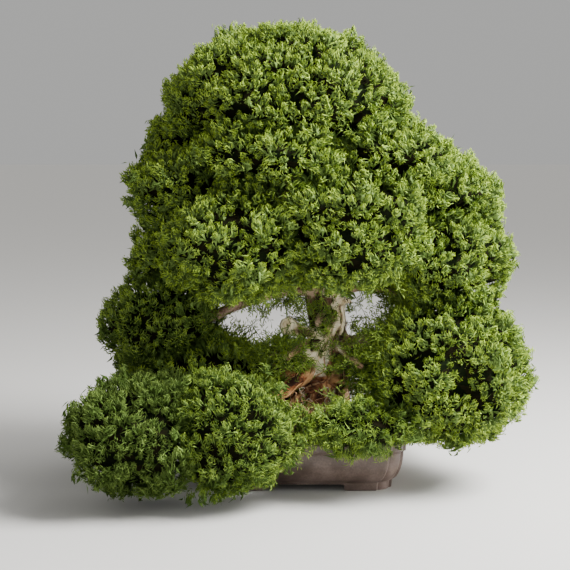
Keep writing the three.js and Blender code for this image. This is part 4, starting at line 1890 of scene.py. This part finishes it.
@dataclass
class Pot:
    """Shallow rectangular pot: band under the rim, set-back lobed corners, four feet.

    Attributes:
        half_width: to each side, over the rim.
        half_depth: to the front and back.
        corner: width of the set-back corner.
        step: how far the corner is set back.
        edge: radius of the rounded edges beside a corner's lobe.
        foot_height: of the openings between the feet.
        foot_inset: of a foot's outside from the rim's outer edge.
        foot_wall: thickness of a foot.
        foot_gap_front: width of the openings at the front and back.
        foot_gap_side: width of the openings at the sides.
        gap_radius: of these openings' upper corners.
        floor_top: height of the floor inside.
        drain_radius: of a drain hole.
        drain_offset: of a drain hole from the middle.
        soft_edge: width of the bevel on all edges.
        finish: the pot's material.
        rings: inset and height in millimetres of each ring of the profile: up the outside, over
            the rim and down the inside.
    """

    half_width: float = 150 * MM
    half_depth: float = 115 * MM
    corner: float = 25 * MM
    step: float = 4.5 * MM
    edge: float = 2.5 * MM
    foot_height: float = 10 * MM
    foot_inset: float = 20 * MM
    foot_wall: float = 15 * MM
    foot_gap_front: float = 119 * MM
    foot_gap_side: float = 84 * MM
    gap_radius: float = 4 * MM
    floor_top: float = 18 * MM
    drain_radius: float = 13 * MM
    drain_offset: float = 68 * MM
    soft_edge: float = 0.9 * MM
    finish: UnglazedClay = field(default_factory=UnglazedClay)
    rings: tuple[tuple[float, float], ...] = (
        *((21.2, 0), (20.6, 0.5), (20.2, 2), (19.4, 11.6), (18.6, 12.8), (17.2, 13.6)),
        *((15.4, 15.6), (12.6, 19.4), (9.8, 25), (7.6, 31), (5.9, 38), (4.8, 45), (4.1, 52)),
        *((3.9, 57.2), (3.4, 58.3), (1.6, 59.2), (0.8, 60.3), (0.6, 64), (0, 69.6), (0.3, 71.6)),
        *((1.6, 73), (8.2, 73), (9.6, 72.4), (10.2, 70.6), (10.8, 68), (28, 21), (29.4, 18.8)),
        (32, 18),
    )

    def __post_init__(self) -> None:
        """Takes the pot's middle from the frame."""
        low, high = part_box("pot")
        self.middle = (low + high) / 2

    def outline(self, inset: float) -> Outline:
        """Draws the pot's plan at one height.

        Args:
            inset: how far it is drawn in from the rim's outer edge.

        Returns:
            Points round the pot's middle, anticlockwise.
        """
        width, depth, edge = self.half_width - inset, self.half_depth - inset, self.edge
        far = self.corner - edge
        side = arc(width - edge, depth - far - edge, edge, [0, 25, 50, 75])
        lobe = arc(width - far, depth - far, far - self.step, np.linspace(3, 87, 11))
        back = arc(width - far - edge, depth - edge, edge, [15, 40, 65, 90])
        corner = [*side, *lobe, *back]
        half = [*corner, *[(-x, y) for x, y in reversed(corner)]]
        return [*half, *[(-x, -y) for x, y in half]]

    def build(self) -> None:
        """Builds the pot."""
        mesh = bmesh.new()
        rings = [
            [mesh.verts.new((x, y, z * MM)) for x, y in self.outline(inset * MM)]
            for inset, z in self.rings
        ]
        for lower, upper in zip(rings, rings[1:]):
            for i, j in ring_sides(len(lower)):
                mesh.faces.new((lower[i], lower[j], upper[j], upper[i]))
        mesh.faces.new(list(reversed(rings[0])))
        mesh.faces.new(rings[-1])
        data = bpy.data.meshes.new("stoneware_pot")
        mesh.to_mesh(data)
        mesh.free()
        piece = place_object("stoneware_pot", data)
        cutters = self.cutters()
        for cutter in cutters:
            modifier = piece.modifiers.new("cut", "BOOLEAN")
            modifier.operation = "DIFFERENCE"
            modifier.solver = "EXACT"
            modifier.object = cutter
        softened = piece.modifiers.new("soft_edges", "BEVEL")
        softened.width = self.soft_edge
        softened.segments = 3
        softened.limit_method = "ANGLE"
        softened.angle_limit = math.radians(50)
        softened.harden_normals = False
        graph = bpy.context.evaluated_depsgraph_get()
        piece.data = bpy.data.meshes.new_from_object(piece.evaluated_get(graph))
        piece.modifiers.clear()
        for cutter in cutters:
            bpy.data.objects.remove(cutter)
        piece.data.transform(Matrix.Translation((self.middle.x, self.middle.y, 0)))
        piece.data.shade_smooth()
        piece.data.set_sharp_from_angle(angle=math.radians(38))
        seat(piece, "pot", self.finish.material(), "pot")

    def cutters(self) -> list[bpy.types.Object]:
        """Makes the solids that cut the recess, the openings between the feet and the drain holes.

        Returns:
            The cutting solids.
        """
        below, radius = -5 * MM, 8 * MM
        under = self.foot_inset + self.foot_wall
        right, back = self.half_width - under - radius, self.half_depth - under - radius
        signs = ((1, 1), (-1, 1), (-1, -1), (1, -1))
        recess = [
            point
            for quarter, (x, y) in enumerate(signs)
            for point in arc(x * right, y * back, radius, np.linspace(0, 90, 7) + 90 * quarter)
        ]
        turns = np.linspace(0, 360, 40, endpoint=False)
        drains = [arc(side * self.drain_offset, 0, self.drain_radius, turns) for side in (-1, 1)]
        return [
            self.prism("recess", recess, (below, self.foot_height)),
            self.gap_cutter("front_gap", self.foot_gap_front, 2 * self.half_depth, False),
            self.gap_cutter("side_gap", self.foot_gap_side, 2 * self.half_width, True),
            *[self.prism("drain", drain, (below, 2 * self.floor_top)) for drain in drains],
        ]

    def prism(self, name: str, outline: Outline, heights: tuple[float, float]) -> bpy.types.Object:
        """Makes an upright prism.

        Args:
            name: its name.
            outline: its plan, anticlockwise.
            heights: of its bottom and top.

        Returns:
            The prism.
        """
        count = len(outline)
        points = [(x, y, z) for z in heights for x, y in outline]
        faces = [list(reversed(range(count))), list(range(count, 2 * count))]
        faces += [[i, j, count + j, count + i] for i, j in ring_sides(count)]
        data = bpy.data.meshes.new(name)
        data.from_pydata(points, [], faces)
        return place_object(name, data)

    def gap_cutter(self, name: str, gap: float, reach: float, turned: bool) -> bpy.types.Object:
        """Makes the solid that cuts one opening between feet, with round upper corners.

        Args:
            name: its name.
            gap: width of the opening.
            reach: half of the cutting solid's length.
            turned: whether it runs from side to side.

        Returns:
            The cutting solid.
        """
        half, radius, top = gap / 2, self.gap_radius, self.foot_height
        right = [(half + 3 * MM, -2 * MM), (half, 2.5 * MM)]
        right += arc(half - radius, top - radius, radius, [0, 22, 45, 68, 90])
        section = [*right, *[(-x, z) for x, z in reversed(right)]]
        cutter = self.prism(name, section, (-reach, reach))
        for axis in "XZ" if turned else "X":
            cutter.data.transform(Matrix.Rotation(math.pi / 2, 4, axis))
        return cutter


# Soil


@dataclass
class Soil:
    """The soil's surface: dark fines, thousands of granules and patches of moss.

    Attributes:
        spacing: between neighbouring granules.
        grain: radius of a granule.
        moss_spacing: between neighbouring moss shoots.
        moss_patch: size of the moss patches.
        moss_height: of a moss shoot.
        moss_width: of a moss shoot.
        moss_over: value of the noise over which moss grows in place of granules.
        moss_edge: the same for its thin edge, which lies over the granules.
        steepest: how far the soil's upper side faces upwards at least.
        finish: the granules' material.
        moss: the moss's material.
    """

    spacing: float = 4.3 * MM
    grain: float = 2.3 * MM
    moss_spacing: float = 2.6 * MM
    moss_patch: float = 38 * MM
    moss_height: float = 4.5 * MM
    moss_width: float = 2.2 * MM
    moss_over: float = 0.18
    moss_edge: float = 0.14
    steepest: float = 0.3
    finish: ClayGranules = field(default_factory=ClayGranules)
    moss: CushionMoss = field(default_factory=CushionMoss)

    def build(self) -> None:
        """Builds the soil with its granules, and the moss on it."""
        random = np.random.default_rng(31)
        ground = Surface.of_node("soil")
        upward = unit(ground.crossings())[:, 2] > self.steepest
        top = Surface(ground.points, ground.triangles[upward])
        columns = chart_columns(np.full(len(ground.triangles), 0.3))
        places, _ = scatter(top, self.spacing, random)
        mossy = soft_noise(places, self.moss_patch, 8) > self.moss_over
        grains = self.granules(places[~mossy], random)
        parts = [(ground, chart_triangles(columns, 0.01, (0.2, 0.2, 0.3))), grains]
        piece = new_object("soil_granules", *joined(parts))
        seat(piece, "soil", self.finish.material(), "soil")
        seat(new_object("soil_moss", *self.cover(top, random)), "soil", self.moss.material())

    def cover(self, top: Surface, random: Random) -> Charted:
        """Grows patches of moss.

        Args:
            top: the soil's upper side.
            random: source of random numbers.

        Returns:
            The moss shoots and their chart places.
        """
        places, normals = scatter(top, self.moss_spacing, random)
        depth = soft_noise(places, self.moss_patch, 8) - self.moss_edge
        places, normals, depth = places[depth > 0], normals[depth > 0], depth[depth > 0]
        height = self.moss_height * np.minimum(1, 0.4 + 3 * depth)
        lift = (height * np.minimum(1, 4 * depth))[:, None] * UP
        roots = places + 0.5 * lift - 2 * MM * UP
        ways = unit(normals + 0.45 * random.normal(size=places.shape))
        tips = roots + (height + 1.5 * MM)[:, None] * ways
        count = len(places)
        tones = 0.5 + 0.3 * soft_noise(places, 12 * MM, 5) + 0.12 * random.normal(size=count)
        widths, heights = np.full(count, self.moss_width), np.tile([0.0, 1.0], (count, 1))
        return spindles(roots, tips, widths, tones, heights, random, belly=0.5)

    def granules(self, places: Array, random: Random) -> Charted:
        """Makes an uneven little stone at each place.

        Args:
            places: where the granules lie.
            random: source of random numbers.

        Returns:
            The granules and their chart places.
        """
        shape = bmesh.new()
        bmesh.ops.create_icosphere(shape, subdivisions=1, radius=1)
        base = np.array([v.co for v in shape.verts])
        faces = np.array([[v.index for v in f.verts] for f in shape.faces])
        shape.free()
        count = len(places)
        size = self.grain * (0.55 + 0.6 * random.random((count, 1, 1)) ** 1.5)
        stretch = 1 + 0.25 * random.normal(size=(count, 1, 3)).clip(-1.5, 1.5)
        knobs = 1 + 0.14 * random.normal(size=(count, len(base), 1))
        points = places[:, None] + size * stretch * knobs * base[None]
        columns = np.repeat(chart_columns(random.beta(2.2, 2.2, size=count)), len(faces))
        chart = chart_triangles(columns, FACE_HALF, (0.55, 0.7, 1.0))
        return copies(points, faces), chart


# Studio


@dataclass(frozen=True)
class Lamp:
    """One light of the studio.

    Attributes:
        name: its name.
        kind: its Blender type.
        power: in watts, or in watts a square metre for a sun.
        away: from what it shines on to the lamp.
        aim: what it shines on, from the pot's middle.
        settings: its size, angle or beam.
    """

    name: str
    kind: str
    power: float
    away: tuple[float, float, float]
    aim: tuple[float, float, float] = (0.0, 0.0, 0.3)
    settings: dict[str, float] = field(default_factory=dict)

    def build(self, middle: Vector) -> None:
        """Hangs the lamp.

        Args:
            middle: the middle of the pot.
        """
        data = bpy.data.lights.new(self.name, self.kind)
        data.energy = self.power
        for name, value in self.settings.items():
            setattr(data, name, value)
        lamp = place_object(self.name, data)
        away = Vector(self.away)
        lamp.location = middle + Vector(self.aim) + away
        lamp.rotation_euler = (-away).to_track_quat("-Z", "Y").to_euler()


@dataclass
class Studio:
    """Pale floor, soft light and the camera.

    Attributes:
        distance: from the camera to the point that it looks at.
        elevation: of the camera, in degrees above level.
        aim: that point, from the pot's middle at table level.
        focal: focal length in millimetres.
        sensor: width of the sensor, in millimetres.
        floor_half_width: of the floor to each side.
        floor_colour: of the floor.
        world_colour: of the dim light all round.
        world_strength: of that light.
    """

    distance: float = 2.2
    elevation: float = 6.5
    aim: tuple[float, float, float] = (-27 * MM, 0.0, 291.6 * MM)
    focal: float = 92.63
    sensor: float = 36.0
    floor_half_width: float = 15.0
    floor_colour: str = "#c4c2be"
    world_colour: str = "#e2e2e0"
    world_strength: float = 0.6

    def build(self, middle: Vector) -> None:
        """Builds the studio round the pot.

        Args:
            middle: the middle of the pot.
        """
        self.camera(middle)
        self.floor()
        self.world()
        beam = {"spot_size": math.radians(11), "spot_blend": 1.0, "shadow_soft_size": 0.06}
        lamps = (
            Lamp("key", "AREA", 140, (1.2, -0.45, 1.15), settings={"size": 0.9}),
            Lamp("fill", "AREA", 8, (-0.2, -2.4, 0.3), settings={"size": 1.2}),
            Lamp("side", "AREA", 36, (1.7, -0.3, -0.14), settings={"size": 0.5}),
            # A narrow soft beam reaches under the foliage to the trunk
            Lamp("trunk_light", "SPOT", 20, (0.25, -1.7, 0.1), (0.03, 0.0, 0.2), beam),
            # Broad light from above and behind falls alike on all of the floor
            Lamp("sky", "SUN", 1.4, (0.6, 0.2, 1.0), settings={"angle": math.radians(35)}),
        )
        for lamp in lamps:
            lamp.build(middle)

    def camera(self, middle: Vector) -> None:
        """Places the camera where the photograph was taken from.

        Args:
            middle: the middle of the pot.
        """
        data = bpy.data.cameras.new("camera")
        data.lens = self.focal
        data.sensor_width = self.sensor
        camera = place_object("camera", data)
        angle = math.radians(self.elevation)
        target = Vector((middle.x, middle.y, 0)) + Vector(self.aim)
        away = self.distance * Vector((0, -math.cos(angle), math.sin(angle)))
        camera.location = target + away
        camera.rotation_euler = (target - camera.location).to_track_quat("-Z", "Y").to_euler()
        bpy.context.scene.camera = camera

    def floor(self) -> None:
        """Lays a plain pale floor."""
        signs = np.array([[-1, -1, 0], [1, -1, 0], [1, 1, 0], [-1, 1, 0]], float)
        corners = self.floor_half_width * signs
        floor = new_object("studio_floor", Surface(corners, np.array([[0, 1, 2], [0, 2, 3]])))
        material, _, shader = new_material("pale_matt_floor")
        feed(shader, {"Base Color": linear(self.floor_colour), "Roughness": 0.75})
        floor.data.materials.append(material)

    def world(self) -> None:
        """Surrounds the scene with dim, even light."""
        world = bpy.data.worlds.new("studio_world")
        world.use_nodes = True
        background = world.node_tree.nodes["Background"]
        feed(background, {"Color": linear(self.world_colour), "Strength": self.world_strength})
        bpy.context.scene.world = world


def main() -> None:
    """Builds the studio, then each part of the bonsai from the pot upwards."""
    logging.basicConfig(level=logging.INFO, format="%(name)s %(message)s")
    pot = Pot()
    Studio().build(pot.middle)
    pot.build()
    net = DrainNet().material()
    for side in ("left", "right"):
        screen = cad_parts[f"drain_screen_{side}"]
        screen.data.materials.clear()
        screen.data.materials.append(net)
    Soil().build()
    bark, leaves = StringyBark(), ScaleFoliage()
    wood = GrainedWood(
        node="trunk_and_branches",
        slot="bark",
        finish=bark,
        voxel=3.1 * MM,
        evening=14,
        swirl=14,
        strip_height=2.2 * MM,
        fibre_height=1.0 * MM,
        strands=640,
        red_below=200 * MM,
        bare=(
            (30 * MM, -34 * MM, 204 * MM, 13 * MM),
            (50 * MM, -28 * MM, 212 * MM, 11 * MM),
            (10 * MM, -24 * MM, 192 * MM, 9 * MM),
            (54 * MM, -18 * MM, 262 * MM, 9 * MM),
            (26 * MM, -46 * MM, 176 * MM, 8 * MM),
        ),
        fresh=(
            (-30 * MM, -70 * MM, 138 * MM, 20 * MM),
            (-4 * MM, -58 * MM, 158 * MM, 18 * MM),
            (42 * MM, -56 * MM, 156 * MM, 16 * MM),
        ),
        middle=pot.middle,
    ).build()
    GrainedWood(
        node="deadwood",
        slot="deadwood",
        finish=WeatheredDeadwood(),
        voxel=1.5 * MM,
        evening=5,
        swirl=8,
        strip_height=1.9 * MM,
        fibre_height=0.9 * MM,
        strands=70,
        strand_step=4 * MM,
        strand_width=1.8 * MM,
        upright=0.6,
        seed=9,
    ).build()
    FineRoots().build(wood, bark, pot.middle)
    OldWoodShoots().build(wood, leaves, pot.middle)
    Foliage(finish=leaves).build(pot.middle)


if __name__ == "__main__":
    main()
